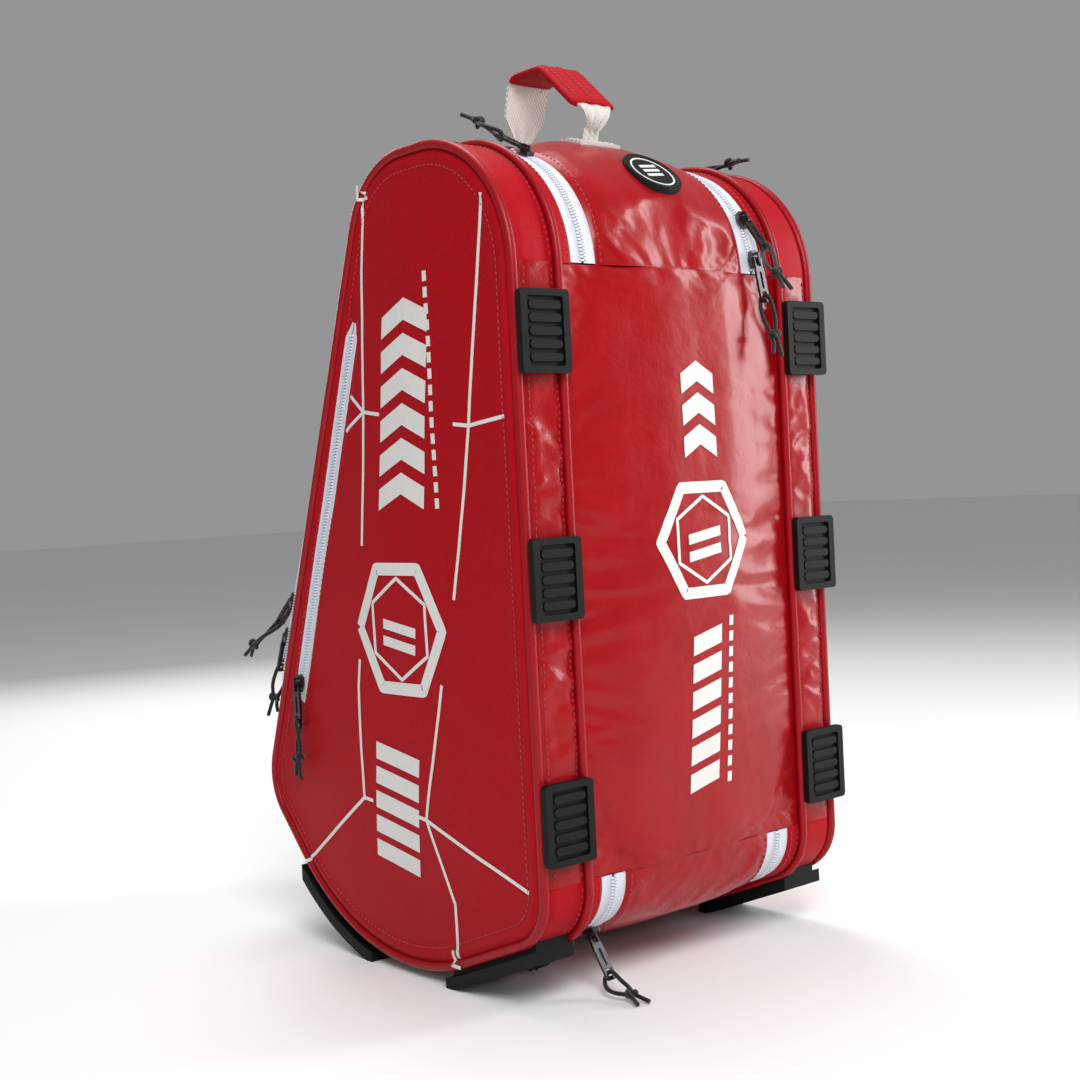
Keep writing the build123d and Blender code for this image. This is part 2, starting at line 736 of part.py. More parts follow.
for side, sign in (("left", -1), ("right", 1)):
    strip = Plane(
        origin=(sign * (side_x + 0.1), pocket_middle.X + front_y, pocket_middle.Y),
        x_dir=(0, *pocket_up),
        z_dir=(sign, 0, 0),
    )
    with BuildPart() as pocket_zip:
        with BuildSketch(strip) as zip_face:
            Rectangle((Vector(pocket_top) - Vector(pocket_end)).length, pocket_tape)
        extrude(zip_face.sketch, amount=pocket_thick)
    save(pocket_zip, f"{side}_pocket_zip")

pocket_point = Vector(pocket_end) + pocket_run * 14.0
pocket_origin = (-pocket_skin, pocket_point.X + front_y, pocket_point.Y)
pocket_base = Plane(origin=pocket_origin, x_dir=(0, *pocket_up), z_dir=(-1, 0, 0))
pocket_bridge = Plane(origin=pocket_origin, x_dir=(0, 0, 1), z_dir=(-1, 0, 0))
pocket_hang = Plane(
    origin=pocket_base.origin + pocket_base.z_dir * pull_rise, x_dir=(0, 0, -1), z_dir=(-1, 0, 0)
)
pulls["left_pocket"] = (pocket_base, pocket_bridge, pocket_hang, pocket_hang, long_loop, long_knot)

for name, (base, bridge, hang, cord_plane, route, knot) in pulls.items():
    save(slider_body(base, bridge), f"{name}_slider")
    save(puller_plate(hang), f"{name}_puller")
    if route:
        save(cord_pull(name, cord_plane, route, knot), f"{name}_cord")
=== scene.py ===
"""Racket tournament bag: what each piece looks like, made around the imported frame.

Lengths in the code are millimetres in the frame's own axes until a mesh is built.
"""
import json
import math

import bpy
import numpy as np
from mathutils import Matrix, Vector, noise
from mathutils.bvhtree import BVHTree


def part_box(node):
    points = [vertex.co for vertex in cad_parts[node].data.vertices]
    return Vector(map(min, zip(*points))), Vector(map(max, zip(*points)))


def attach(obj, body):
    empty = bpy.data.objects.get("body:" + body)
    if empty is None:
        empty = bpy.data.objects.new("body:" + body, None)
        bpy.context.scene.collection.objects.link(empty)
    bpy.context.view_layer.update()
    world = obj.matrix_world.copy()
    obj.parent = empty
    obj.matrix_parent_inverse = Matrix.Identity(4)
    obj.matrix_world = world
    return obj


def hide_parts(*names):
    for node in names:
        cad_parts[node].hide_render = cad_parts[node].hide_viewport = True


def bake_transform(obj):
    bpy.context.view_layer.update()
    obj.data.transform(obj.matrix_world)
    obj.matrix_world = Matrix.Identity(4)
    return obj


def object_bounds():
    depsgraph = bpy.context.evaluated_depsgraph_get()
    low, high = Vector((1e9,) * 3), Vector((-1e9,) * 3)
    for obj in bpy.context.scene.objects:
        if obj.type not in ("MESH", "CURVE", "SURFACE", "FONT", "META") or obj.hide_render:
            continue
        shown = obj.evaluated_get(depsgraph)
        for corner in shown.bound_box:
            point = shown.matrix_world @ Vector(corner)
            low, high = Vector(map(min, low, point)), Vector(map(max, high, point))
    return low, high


bl_info = {
    "name": "Racket tournament bag",
    "version": (1, 0, 0),
    "blender": (4, 5, 0),
    "location": "View3D > Sidebar > Bag",
    "description": "Builds the sewn, moulded and printed pieces of a racket bag",
    "category": "Object",
}

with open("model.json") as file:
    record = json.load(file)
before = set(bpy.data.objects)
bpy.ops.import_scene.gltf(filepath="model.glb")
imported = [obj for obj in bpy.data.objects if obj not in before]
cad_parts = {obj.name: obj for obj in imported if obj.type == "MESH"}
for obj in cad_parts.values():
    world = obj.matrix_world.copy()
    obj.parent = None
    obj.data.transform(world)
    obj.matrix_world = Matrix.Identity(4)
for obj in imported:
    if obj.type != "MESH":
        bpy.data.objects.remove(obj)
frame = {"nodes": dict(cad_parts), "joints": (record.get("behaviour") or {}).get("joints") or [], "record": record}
cad_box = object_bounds()
MM = 0.001
SIDES = (("left", -1), ("right", 1))


def linear(hex_colour):
    """An sRGB hex colour as linear red, green and blue."""
    parts = [int(hex_colour[i:i + 2], 16) / 255 for i in (1, 3, 5)]
    return tuple(c / 12.92 if c <= 0.04045 else ((c + 0.055) / 1.055) ** 2.4 for c in parts)


def colour(name, hex_colour):
    return bpy.props.FloatVectorProperty(
        name=name, description=f"Colour of the {name.lower()}", subtype="COLOR", min=0, max=1,
        default=linear(hex_colour),
    )


def length(name, description, value):
    return bpy.props.FloatProperty(name=name, description=description, default=value, min=0.0)


class BagSizes(bpy.types.PropertyGroup):
    """How far the soft pieces stand out, in millimetres."""

    front_bulge: length("Front bulge", "How far the glossy front stands out, mm", 9.0)
    crown_bulge: length("Crown bulge", "How far the top stands above the gussets, mm", 17.0)
    side_bulge: length("Side bulge", "How far a side panel is domed, mm", 3.5)
    crease: length("Crease", "Height of the creases in the coated fabric, mm", 1.1)
    ink: length("Ink", "Thickness of the printed ink, mm", 0.25)
    stitch: length("Stitch", "Length of one stitch, mm", 3.0)
    cloth_pressure: length("Cloth pressure", "Pressure that fills out the coated panels", 2.2)


class BagColours(bpy.types.PropertyGroup):
    """Colours of the bag's own fabrics and trims."""

    matte_red: colour("Matte red polyester", "#B00718")
    gloss_red: colour("Coated red fabric", "#A00007")
    piping_red: colour("Red piping", "#9C0212")
    white_tape: colour("White zipper tape", "#D9DCE6")
    webbing: colour("White webbing", "#D8D4CC")
    ink_white: colour("White ink", "#DEDCD8")
    black_cord: colour("Black cord", "#0D0D0E")
    rubber: colour("Black rubber", "#101011")
    gunmetal: colour("Gunmetal", "#5A5A5E")
    lining: colour("Grey lining", "#3A3B3F")
    mesh_black: colour("Black spacer mesh", "#17181A")
    floor: colour("Pale floor", "#F2F2F2")


# ---------------------------------------------------------------- the bag's outline

def box_mm(node):
    """A node's lowest and highest corners, in millimetres."""
    return [np.array(c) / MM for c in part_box(node)]


piping_low, piping_high = box_mm("left_seam_piping")
tapes_low, tapes_high = box_mm("centre_zip_tapes")
seam_radius = 3.0
front_line = piping_low[1] + seam_radius  # y of the gussets' front edge
height = piping_high[2] - seam_radius
depth = piping_high[1] - seam_radius - front_line
lift = height - round(height)
seam_x = -(piping_low[0] + piping_high[0]) / 2
zip_x = round(tapes_high[0])
side_x = -box_mm("left_side_panel")[0][0]
gusset_x = -box_mm("left_gusset_wrap")[0][0]
tape = 12.0
skin = 3.0
seam_top = 491.0
seam_low = 85.0
side_zip_start = 112.0
piping_radius = 3.5
nose_rise = 52.0
belly_corner = (207.0, -28.0)
heel_corner = (347.0, 117.0)
hip_corner = (322.0, 223.0)
crown_corner = (171.0, 583.0)
door_heel = (343.0, 117.0)
door_crown = (166.0, 583.0)
gusset_radii = (42.0, 190.0, 45.0, 300.0, 70.0, 95.0)
door_radii = (42.0, 190.0, 45.0, 70.0, 95.0)
top_height = 583.0


def placed(point):
    """A (depth, height) point in the frame's (y, z)."""
    return np.array((point[0] + front_line, point[1] + lift))


def rounded(corners, radii):
    """A closed line through the corners, each rounded by an arc, as an array of points."""
    points = []
    for i, radius in enumerate(radii):
        before, corner, after = (np.array(corners[k % len(corners)], float) for k in (i - 1, i, i + 1))
        towards = (before - corner) / np.linalg.norm(before - corner)
        away = (after - corner) / np.linalg.norm(after - corner)
        half = math.acos(float(towards @ away)) / 2
        centre = corner + (towards + away) / np.linalg.norm(towards + away) * radius / math.sin(half)
        first = corner + towards * radius / math.tan(half) - centre
        last = corner + away * radius / math.tan(half) - centre
        start = math.atan2(first[1], first[0])
        turn = (math.atan2(last[1], last[0]) - start + math.pi) % (2 * math.pi) - math.pi
        for angle in start + turn * np.linspace(0, 1, 60):
            points.append(centre + radius * np.array((math.cos(angle), math.sin(angle))))
    return np.array(points)


class Girth:
    """A closed outline seen from the side, walked down the front, back under the base, up and over."""

    def __init__(self, corners, radii):
        line = rounded([placed(c) for c in corners], radii)
        # the walk starts on the front edge, at the upper cross seam
        first = np.linalg.norm(line - placed((0, seam_top)), axis=1).argmin()
        line = np.roll(line, -first, axis=0)
        line = np.vstack([line, line[:1]])
        steps = np.linalg.norm(np.diff(line, axis=0), axis=1)
        along = np.concatenate([[0], np.cumsum(steps)])
        keep = np.concatenate([[True], steps > 1e-6])
        self.line, self.along = line[keep], along[keep]
        self.length = float(self.along[-1])

    def at(self, s):
        """Points at the given distances along the walk."""
        s = np.mod(np.asarray(s, float), self.length + 1e-9)
        return np.stack([np.interp(s, self.along, self.line[:, k]) for k in (0, 1)], axis=-1)

    def tangent(self, s):
        step = 1.5
        ahead, behind = self.at(np.asarray(s) + step), self.at(np.asarray(s) - step)
        run = ahead - behind
        return run / np.linalg.norm(run, axis=-1, keepdims=True)

    def out(self, s):
        """Outward directions at the given distances."""
        run = self.tangent(s)
        return np.stack([run[..., 1], -run[..., 0]], axis=-1)

    def near(self, point):
        """The distance along the walk of the point of the outline nearest to a (depth, height) point."""
        s = np.arange(0, self.length, 0.5)
        gap = np.linalg.norm(self.at(s) - placed(point), axis=1)
        return float(s[gap.argmin()])


gusset_corners = [(0, nose_rise), belly_corner, heel_corner, hip_corner, crown_corner, (0, top_height)]
girth = Girth(gusset_corners, gusset_radii)
door_edge = Girth([(0, nose_rise), belly_corner, door_heel, door_crown, (0, top_height)], door_radii)
s_low = girth.near((0, seam_low))
s_base_end = girth.near((333, seam_low))
s_back_top = girth.near((210, seam_top))
s_zip_base = girth.near((side_zip_start, 10))
s_zip_top = girth.near((side_zip_start, 583))


def smooth(t):
    t = np.clip(t, 0, 1)
    return t * t * (3 - 2 * t)


def core_profile(sizes):
    """How far the centre panels stand out, all along the walk, as a function of the distance."""
    marks = [
        (0, 0.62), (s_low / 2, 1.0), (s_low, 0.55), (girth.near((0, 45)), 0.3), (girth.near((140, 10)), 0.2),
        (girth.near((340, 90)), 0.1), (girth.near((330, 220)), 0.1), (girth.near((250, 400)), 0.25),
        (girth.near((190, 560)), 0.8), (girth.near((160, 583)), 1.55), (girth.near((128, 583)), 1.9),
        (girth.near((98, 583)), 1.5), (girth.near((60, 576)), 0.8), (girth.near((24, 552)), 0.5),
        (girth.length, 0.62),
    ]
    s = np.arange(0, girth.length, 2.0)
    rise = np.interp(s, [m[0] for m in marks], [m[1] for m in marks])
    window = np.ones(17) / 17
    rise = np.convolve(np.concatenate([rise[-8:], rise, rise[:8]]), window, "valid")
    return lambda at: sizes.front_bulge * np.interp(np.mod(at, girth.length), s, rise)


# ---------------------------------------------------------------- meshes

class Mesh:
    """Points and faces gathered before they become one object."""

    def __init__(self):
        self.points, self.faces, self.coords, self.finish, self.normals = [], [], [], [], []

    def add(self, points, faces, coords=None, finish=0, normals=None):
        """Adds faces over their own points; coords and normals go with the points."""
        start = len(self.points)
        points = np.asarray(points, float)
        self.points += points.tolist()
        coords = points[:, :2] if coords is None else coords
        for face in faces:
            self.faces.append([start + i for i in face])
            self.coords += [tuple(coords[i]) for i in face]
            self.finish.append(finish)
            self.normals += [None if normals is None else tuple(normals[i]) for i in face]

    def build(self, name, *materials):
        mesh = bpy.data.meshes.new(name)
        mesh.from_pydata((np.array(self.points) * MM).tolist(), [], self.faces)
        layer = mesh.uv_layers.new(name="cloth")
        layer.data.foreach_set("uv", (np.array(self.coords, np.float32) * MM).ravel())
        mesh.polygons.foreach_set("material_index", np.array(self.finish, np.int32))
        mesh.shade_smooth()
        for made in materials:
            mesh.materials.append(made)
        if all(n is not None for n in self.normals):
            mesh.normals_split_custom_set(self.normals)
        else:
            mesh.set_sharp_from_angle(angle=math.radians(42))
        mesh.validate()
        made = bpy.data.objects.new(name, mesh)
        bpy.context.scene.collection.objects.link(made)
        return made


def grid_normals(grid, closed=False):
    """Unit normals of a grid of points, rows first."""
    along = np.gradient(grid, axis=0)
    if closed:
        across = np.roll(grid, -1, axis=1) - np.roll(grid, 1, axis=1)
    else:
        across = np.gradient(grid, axis=1)
    out = np.cross(along, across)
    size = np.linalg.norm(out, axis=2, keepdims=True)
    return out / np.maximum(size, 1e-9)


def quads(rows, cols, closed=False, flip=False):
    faces = []
    for i in range(rows - 1):
        for j in range(cols if closed else cols - 1):
            k = (j + 1) % cols
            face = [i * cols + j, (i + 1) * cols + j, (i + 1) * cols + k, i * cols + k]
            faces.append(face[::-1] if flip else face)
    return faces


def add_slab(mesh, outer, thick, coords, lining=0, closed=False, normals=None, edge=0):
    """A sheet of cloth with a thickness: its outer face, its inner face and the rim between them."""
    rows, cols = outer.shape[:2]
    out = grid_normals(outer, closed) if normals is None else normals
    inner = outer - out * thick
    flat = coords.reshape(-1, 2)
    mesh.add(outer.reshape(-1, 3), quads(rows, cols, closed), flat, 0, out.reshape(-1, 3))
    mesh.add(inner.reshape(-1, 3), quads(rows, cols, closed, True), flat, lining, -out.reshape(-1, 3))
    rims = [(0, None, -1), (rows - 1, None, 1)]
    if not closed:
        rims += [(None, 0, 1), (None, cols - 1, -1)]
    for row, col, way in rims:
        pick = (lambda g: g[row]) if col is None else (lambda g: g[:, col])
        near, far, side = pick(outer), pick(inner), pick(coords)
        points = np.stack([near, far])
        if closed:
            points = np.concatenate([points, points[:, :1]], axis=1)
            side = np.concatenate([side, side[:1]])
        facing = grid_normals(points)
        count = points.shape[1]
        mesh.add(
            points.reshape(-1, 3), quads(2, count, flip=way < 0), np.concatenate([side, side]), edge,
            (facing * way).reshape(-1, 3),
        )


def wrap_grid(s, x, rise):
    """Points off the girth: rows along the walk, columns across the bag."""
    s, x = np.asarray(s, float), np.asarray(x, float)
    if x.ndim == 1:
        x = np.broadcast_to(x, (len(s), len(x)))
    line, out = girth.at(s), girth.out(s)
    place = line[:, None, :] + out[:, None, :] * rise[:, :, None]
    return np.concatenate([x[:, :, None], place], axis=2)


def spread(low, high, step):
    """Evenly spaced values from low to high, about a step apart."""
    return np.linspace(low, high, max(2, int(round(abs(high - low) / step)) + 1))


def crumple(points, size, seed, stretch=(1.0, 1.0, 1.0)):
    """Crease heights from 0 to 1 at an array of points; size is about one crease's width."""
    flat = np.asarray(points, float).reshape(-1, 3) * np.array(stretch) / size
    shift = Vector((seed * 7.3, seed * 3.1, seed * 5.7))
    values = [noise.ridged_multi_fractal(Vector(p) + shift, 1.0, 2.1, 3, 1.0, 2.0) for p in flat]
    return np.clip(np.array(values).reshape(np.asarray(points).shape[:-1]) / 2.2, 0, 1)


def waves(points, size, seed, stretch=(1.0, 1.0, 1.0)):
    """Soft unevenness from -1 to 1 at an array of points."""
    flat = np.asarray(points, float).reshape(-1, 3) * np.array(stretch) / size
    shift = Vector((seed * 2.7, seed * 9.1, seed * 4.3))
    values = [noise.noise(Vector(p) + shift) for p in flat]
    return np.array(values).reshape(np.asarray(points).shape[:-1])


def settle(grid, slack, pressure, steps=14, reach=5.0):
    """Cloth sewn down round its edge and let fill out; no point moves by more than the reach."""
    rows, cols = grid.shape[:2]
    mesh = bpy.data.meshes.new("cloth_blank")
    mesh.from_pydata((grid.reshape(-1, 3) * MM).tolist(), [], quads(rows, cols))
    blank = bpy.data.objects.new("cloth_blank", mesh)
    bpy.context.scene.collection.objects.link(blank)
    edge = [i * cols + j for i in range(rows) for j in range(cols) if i in (0, rows - 1) or j in (0, cols - 1)]
    blank.vertex_groups.new(name="seam").add(edge, 1.0, "ADD")
    cloth = blank.modifiers.new("cloth", "CLOTH")
    settings = cloth.settings
    settings.quality = 6
    settings.mass = 0.4
    settings.tension_stiffness = 25
    settings.compression_stiffness = 25
    settings.shear_stiffness = 8
    settings.bending_stiffness = 0.6
    settings.air_damping = 3.0
    settings.vertex_group_mass = "seam"
    settings.shrink_min = -slack
    settings.use_pressure = True
    settings.uniform_pressure_force = pressure
    settings.effector_weights.gravity = 0.0
    cloth.collision_settings.use_collision = False
    cloth.point_cache.frame_start = 1
    cloth.point_cache.frame_end = steps
    scene = bpy.context.scene
    for step in range(1, steps + 1):
        scene.frame_set(step)
    shape = blank.evaluated_get(bpy.context.evaluated_depsgraph_get()).to_mesh()
    found = np.empty(len(shape.vertices) * 3)
    shape.vertices.foreach_get("co", found)
    bpy.data.objects.remove(blank)
    scene.frame_set(1)
    if not np.isfinite(found).all():
        raise RuntimeError("the cloth did not settle")
    moved = found.reshape(grid.shape) / MM - grid
    far = np.linalg.norm(moved, axis=2, keepdims=True)
    return grid + moved * reach / (reach + far)


def sweep(mesh, line, section, closed=False, finish=0, up=None, cap=True):
    """A section of (across, up) points carried along a line of points."""
    line = np.asarray(line, float)
    if closed:
        run = np.roll(line, -1, axis=0) - np.roll(line, 1, axis=0)
    else:
        run = np.gradient(line, axis=0)
    run /= np.linalg.norm(run, axis=1, keepdims=True)
    ups = np.empty_like(line)
    if up is None:
        guess = np.cross(run[0], (1, 0, 0))
        if np.linalg.norm(guess) < 0.1:
            guess = np.cross(run[0], (0, 0, 1))
        ups[0] = guess / np.linalg.norm(guess)
        for i in range(1, len(line)):
            step = ups[i - 1] - run[i] * (ups[i - 1] @ run[i])
            ups[i] = step / np.linalg.norm(step)
    else:
        ups[:] = up
    across = np.cross(ups, run)
    across /= np.linalg.norm(across, axis=1, keepdims=True)
    section = np.asarray(section, float)
    if section.ndim == 2:
        section = np.broadcast_to(section, (len(line),) + section.shape)
    grid = line[:, None] + across[:, None] * section[:, :, :1] + ups[:, None] * section[:, :, 1:]
    rows, cols = grid.shape[:2]
    travel = np.concatenate([[0], np.cumsum(np.linalg.norm(np.diff(line, axis=0), axis=1))])
    girths = np.linspace(0, cols * np.linalg.norm(section[0, 1] - section[0, 0]), cols)
    coords = np.stack(np.meshgrid(girths, travel), axis=2).reshape(-1, 2)
    faces = quads(rows, cols, True)
    if closed:
        last = (rows - 1) * cols
        faces += [[last + j, j, (j + 1) % cols, last + (j + 1) % cols] for j in range(cols)]
    elif cap:
        faces += [list(range(cols)), list(range((rows - 1) * cols, rows * cols))[::-1]]
    mesh.add(grid.reshape(-1, 3), faces, coords, finish)


def ring(radius, sides=12, squash=1.0):
    """A round section, or an oval one."""
    turn = np.linspace(0, 2 * math.pi, sides, endpoint=False)
    return np.stack([radius * np.cos(turn), radius * squash * np.sin(turn)], axis=1)


def beads(mesh, centres, along, up, size, finish=0):
    """Small rounded blocks, such as stitches or zipper teeth: size is length, width and height."""
    centres, along, up = (np.asarray(v, float) for v in (centres, along, up))
    across = np.cross(up, along)
    ring_points = [(-0.32, 0.5), (0.32, 0.5)]
    shape = []
    for end, share in ring_points:
        for a, b in ((1, 1), (-1, 1), (-1, -1), (1, -1)):
            shape.append((end, a * share, b * share))
    shape += [(-0.5, 0, 0), (0.5, 0, 0)]
    shape = np.array(shape) * np.array(size)
    faces = [
        [0, 1, 5, 4], [1, 2, 6, 5], [2, 3, 7, 6], [3, 0, 4, 7],
        [1, 0, 8], [2, 1, 8], [3, 2, 8], [0, 3, 8], [4, 5, 9], [5, 6, 9], [6, 7, 9], [7, 4, 9],
    ]
    for centre, run, side, rise in zip(centres, along, across, up):
        points = centre + shape[:, :1] * run + shape[:, 1:2] * side + shape[:, 2:] * rise
        mesh.add(points, faces, None, finish)


def stitch_row(mesh, line, up, sizes, pitch=4.4, thread=0.8, finish=0):
    """A row of stitches along a line of points, sunk by half their thread."""
    line, up = np.asarray(line, float), np.asarray(up, float)
    travel = np.concatenate([[0], np.cumsum(np.linalg.norm(np.diff(line, axis=0), axis=1))])
    at = np.arange(pitch / 2, travel[-1], pitch)
    centres = np.stack([np.interp(at, travel, line[:, k]) for k in range(3)], axis=1)
    ups = np.stack([np.interp(at, travel, up[:, k]) for k in range(3)], axis=1)
    ups /= np.linalg.norm(ups, axis=1, keepdims=True)
    ahead = np.stack([np.interp(at + 1, travel, line[:, k]) for k in range(3)], axis=1)
    back = np.stack([np.interp(at - 1, travel, line[:, k]) for k in range(3)], axis=1)
    run = ahead - back
    run -= ups * np.sum(run * ups, axis=1, keepdims=True)
    run /= np.linalg.norm(run, axis=1, keepdims=True)
    beads(mesh, centres + ups * thread * 0.15, run, ups, (sizes.stitch, thread, thread), finish)


def wrap_line(s, x, rise):
    """A line on the girth at one x, and its outward directions."""
    s = np.asarray(s, float)
    line, out = girth.at(s), girth.out(s)
    points = np.column_stack([np.full(len(s), float(x)), line + out * np.asarray(rise)[..., None]])
    return points, np.column_stack([np.zeros(len(s)), out])


def finish_piece(piece, body, slot, *nodes):
    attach(piece, body)
    if nodes:
        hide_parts(*nodes)
    return piece


# ---------------------------------------------------------------- materials

def node(tree, kind, inputs=None, **settings):
    """Adds a node to a material; an input takes a value, or another node's output to link to."""
    made = tree.nodes.new(kind)
    for name, value in settings.items():
        setattr(made, name, value)
    for name, value in (inputs or {}).items():
        if isinstance(value, bpy.types.NodeSocket):
            tree.links.new(value, made.inputs[name])
        else:
            made.inputs[name].default_value = value
    return made


def maths(tree, operation, first, second=0.0):
    return node(tree, "ShaderNodeMath", {0: first, 1: second}, operation=operation).outputs[0]


def new_material(name, **shader):
    """A material with one shader, whose even values are set on its own sockets."""
    made = bpy.data.materials.new(name)
    made.use_nodes = True
    made.node_tree.nodes.clear()
    surface = node(made.node_tree, "ShaderNodeBsdfPrincipled", {k.replace("_", " "): v for k, v in shader.items()})
    output = node(made.node_tree, "ShaderNodeOutputMaterial")
    made.node_tree.links.new(surface.outputs[0], output.inputs[0])
    return made, made.node_tree, surface


def bumped(tree, surface, rise, distance, strength=1.0, under=None):
    """A height in the 0 to 1 range as bump; the distance is in millimetres."""
    inputs = {"Height": rise, "Distance": distance * MM, "Strength": strength}
    if under:
        inputs["Normal"] = under
    made = node(tree, "ShaderNodeBump", inputs)
    tree.links.new(made.outputs[0], surface.inputs["Normal"])
    return made.outputs[0]


def cloud(tree, place, size, detail=2.0, roughness=0.5):
    """Noise whose blotches are about size millimetres across."""
    made = node(
        tree, "ShaderNodeTexNoise",
        {"Vector": place, "Scale": 1 / (size * MM), "Detail": detail, "Roughness": roughness},
    )
    return made.outputs[0]


def tinted(tree, surface, base, shade, share):
    """Base colour that goes darker where shade is low, by up to a share."""
    darker = tuple(c * (1 - share) for c in base)
    mix = node(tree, "ShaderNodeMix", {"Factor": shade}, data_type="RGBA")
    mix.inputs["A"].default_value = (*darker, 1)
    mix.inputs["B"].default_value = (*base, 1)
    tree.links.new(mix.outputs["Result"], surface.inputs["Base Color"])


def weave(tree, place, spacing, ratio=1.0):
    """Plain weave: how high the upper thread lies, 0 to 1, with threads a spacing of millimetres apart."""
    parts = node(tree, "ShaderNodeSeparateXYZ", {0: place})
    warp = maths(tree, "MULTIPLY", parts.outputs[0], math.pi / (spacing * MM))
    weft = maths(tree, "MULTIPLY", parts.outputs[1], math.pi / (spacing * ratio * MM))
    over = maths(tree, "MULTIPLY", maths(tree, "SINE", warp), maths(tree, "SINE", weft))
    return maths(tree, "ADD", maths(tree, "MULTIPLY", over, 0.5), 0.5)


def cloth_place(tree, coords="UV"):
    return node(tree, "ShaderNodeTexCoord").outputs[coords]


def polyester_oxford(name, base, spacing=1.1, gloss=0.5, sheen=0.06):
    """Woven polyester oxford, 600 denier: a fine pebbled weave with a soft sheen at its edges.

    The real threads are 0.5 mm apart; they are drawn at about twice that, so that they show.
    """
    made, tree, surface = new_material(
        name, Roughness=gloss, IOR=1.5, Sheen_Weight=sheen, Sheen_Roughness=0.4, Specular_IOR_Level=0.1,
    )
    surface.inputs["Sheen Tint"].default_value = (1.0, 0.2, 0.25, 1)
    place = cloth_place(tree)
    threads = weave(tree, place, spacing)
    slub = cloud(tree, place, 7.0, 3.0)
    # the colour goes darker in the weave's low cells, which is painted shade in its hollows, and darker in slubs of
    # random tone
    shade = maths(tree, "ADD", maths(tree, "MULTIPLY", threads, 0.55), maths(tree, "MULTIPLY", slub, 0.45))
    tinted(tree, surface, base, shade, 0.34)
    under = bumped(tree, surface, threads, 0.16, 0.7)
    bumped(tree, surface, cloud(tree, place, 14.0, 2.0), 0.5, 0.35, under)
    return made


def coated_tarpaulin(name, base, sheen_tint):
    """PU-coated polyester tarpaulin: a wet-looking film over faint threads, with fine creases."""
    made, tree, surface = new_material(
        name, Roughness=0.3, IOR=1.48, Specular_IOR_Level=0.22, Coat_Weight=0.14, Coat_Roughness=0.12,
        Coat_IOR=1.5, Sheen_Weight=0.05, Sheen_Roughness=0.5,
    )
    surface.inputs["Sheen Tint"].default_value = (*sheen_tint, 1)
    place = cloth_place(tree)
    tinted(tree, surface, base, cloud(tree, place, 45.0, 3.0), 0.3)
    rough = cloud(tree, place, 22.0, 4.0)
    spread_out = node(tree, "ShaderNodeMapRange", {0: rough, 3: 0.24, 4: 0.42})
    tree.links.new(spread_out.outputs[0], surface.inputs["Roughness"])
    under = bumped(tree, surface, weave(tree, place, 1.2), 0.05, 0.5)
    under = bumped(tree, surface, cloud(tree, place, 9.0, 4.0, 0.6), 0.7, 0.5, under)
    bumped(tree, surface, cloud(tree, place, 34.0, 2.0), 1.8, 0.45, under)
    return made


def coated_piping(name, base):
    """Coated fabric drawn over a cord: glossier than the panels, with small cross puckers."""
    made, tree, surface = new_material(
        name, Roughness=0.4, IOR=1.48, Specular_IOR_Level=0.25, Coat_Weight=0.06, Coat_Roughness=0.2,
    )
    place = cloth_place(tree, "Object")
    tinted(tree, surface, base, cloud(tree, place, 12.0, 3.0), 0.25)
    bumped(tree, surface, cloud(tree, place, 4.0, 3.0), 0.35, 0.6)
    return made


def woven_tape(name, base, spacing, ribs=1.0, gloss=0.7, depth_mm=0.25):
    """Narrow woven tape: crosswise ribs of thick thread, matte and slightly fuzzy."""
    made, tree, surface = new_material(
        name, Roughness=gloss, IOR=1.5, Sheen_Weight=0.25, Sheen_Roughness=0.5, Specular_IOR_Level=0.3,
    )
    place = cloth_place(tree)
    threads = weave(tree, place, spacing, ribs)
    soil = cloud(tree, place, 18.0, 3.0)
    # the colour goes darker in the weave's low cells, which is painted shade in its hollows, and darker in random
    # soiled blotches
    shade = maths(tree, "ADD", maths(tree, "MULTIPLY", threads, 0.7), maths(tree, "MULTIPLY", soil, 0.3))
    tinted(tree, surface, base, shade, 0.22)
    bumped(tree, surface, threads, depth_mm, 0.8)
    return made


def nylon_coil(name, base):
    """Moulded nylon coil: smooth and slightly translucent white monofilament."""
    made, tree, surface = new_material(name, Roughness=0.32, IOR=1.53, Subsurface_Weight=0.1)
    tinted(tree, surface, base, cloud(tree, cloth_place(tree, "Object"), 5.0), 0.08)
    return made


def braided_cord(name, base):
    """Braided polyester cord: slanted plaits about 1.4 mm long, with a dull shine."""
    made, tree, surface = new_material(
        name, Roughness=0.6, IOR=1.5, Sheen_Weight=0.3, Sheen_Roughness=0.4, Specular_IOR_Level=0.4,
    )
    place = cloth_place(tree, "Object")
    plaits = node(
        tree, "ShaderNodeTexWave", {"Vector": place, "Scale": 0.35 / (1.4 * MM), "Distortion": 1.5},
        bands_direction="DIAGONAL",
    ).outputs[1]
    # the plaits go darker in their grooves between them: painted shade
    tinted(tree, surface, base, plaits, 0.5)
    bumped(tree, surface, plaits, 0.3, 0.9)
    return made


def moulded_rubber(name, base):
    """Moulded EVA rubber: matte black with a fine eroded grain and paler rubbed patches."""
    made, tree, surface = new_material(name, Roughness=0.6, IOR=1.52, Specular_IOR_Level=0.18)
    place = cloth_place(tree, "Object")
    tinted(tree, surface, base, cloud(tree, place, 16.0, 4.0), 0.5)
    bumped(tree, surface, cloud(tree, place, 0.9, 2.0), 0.12, 0.7)
    return made


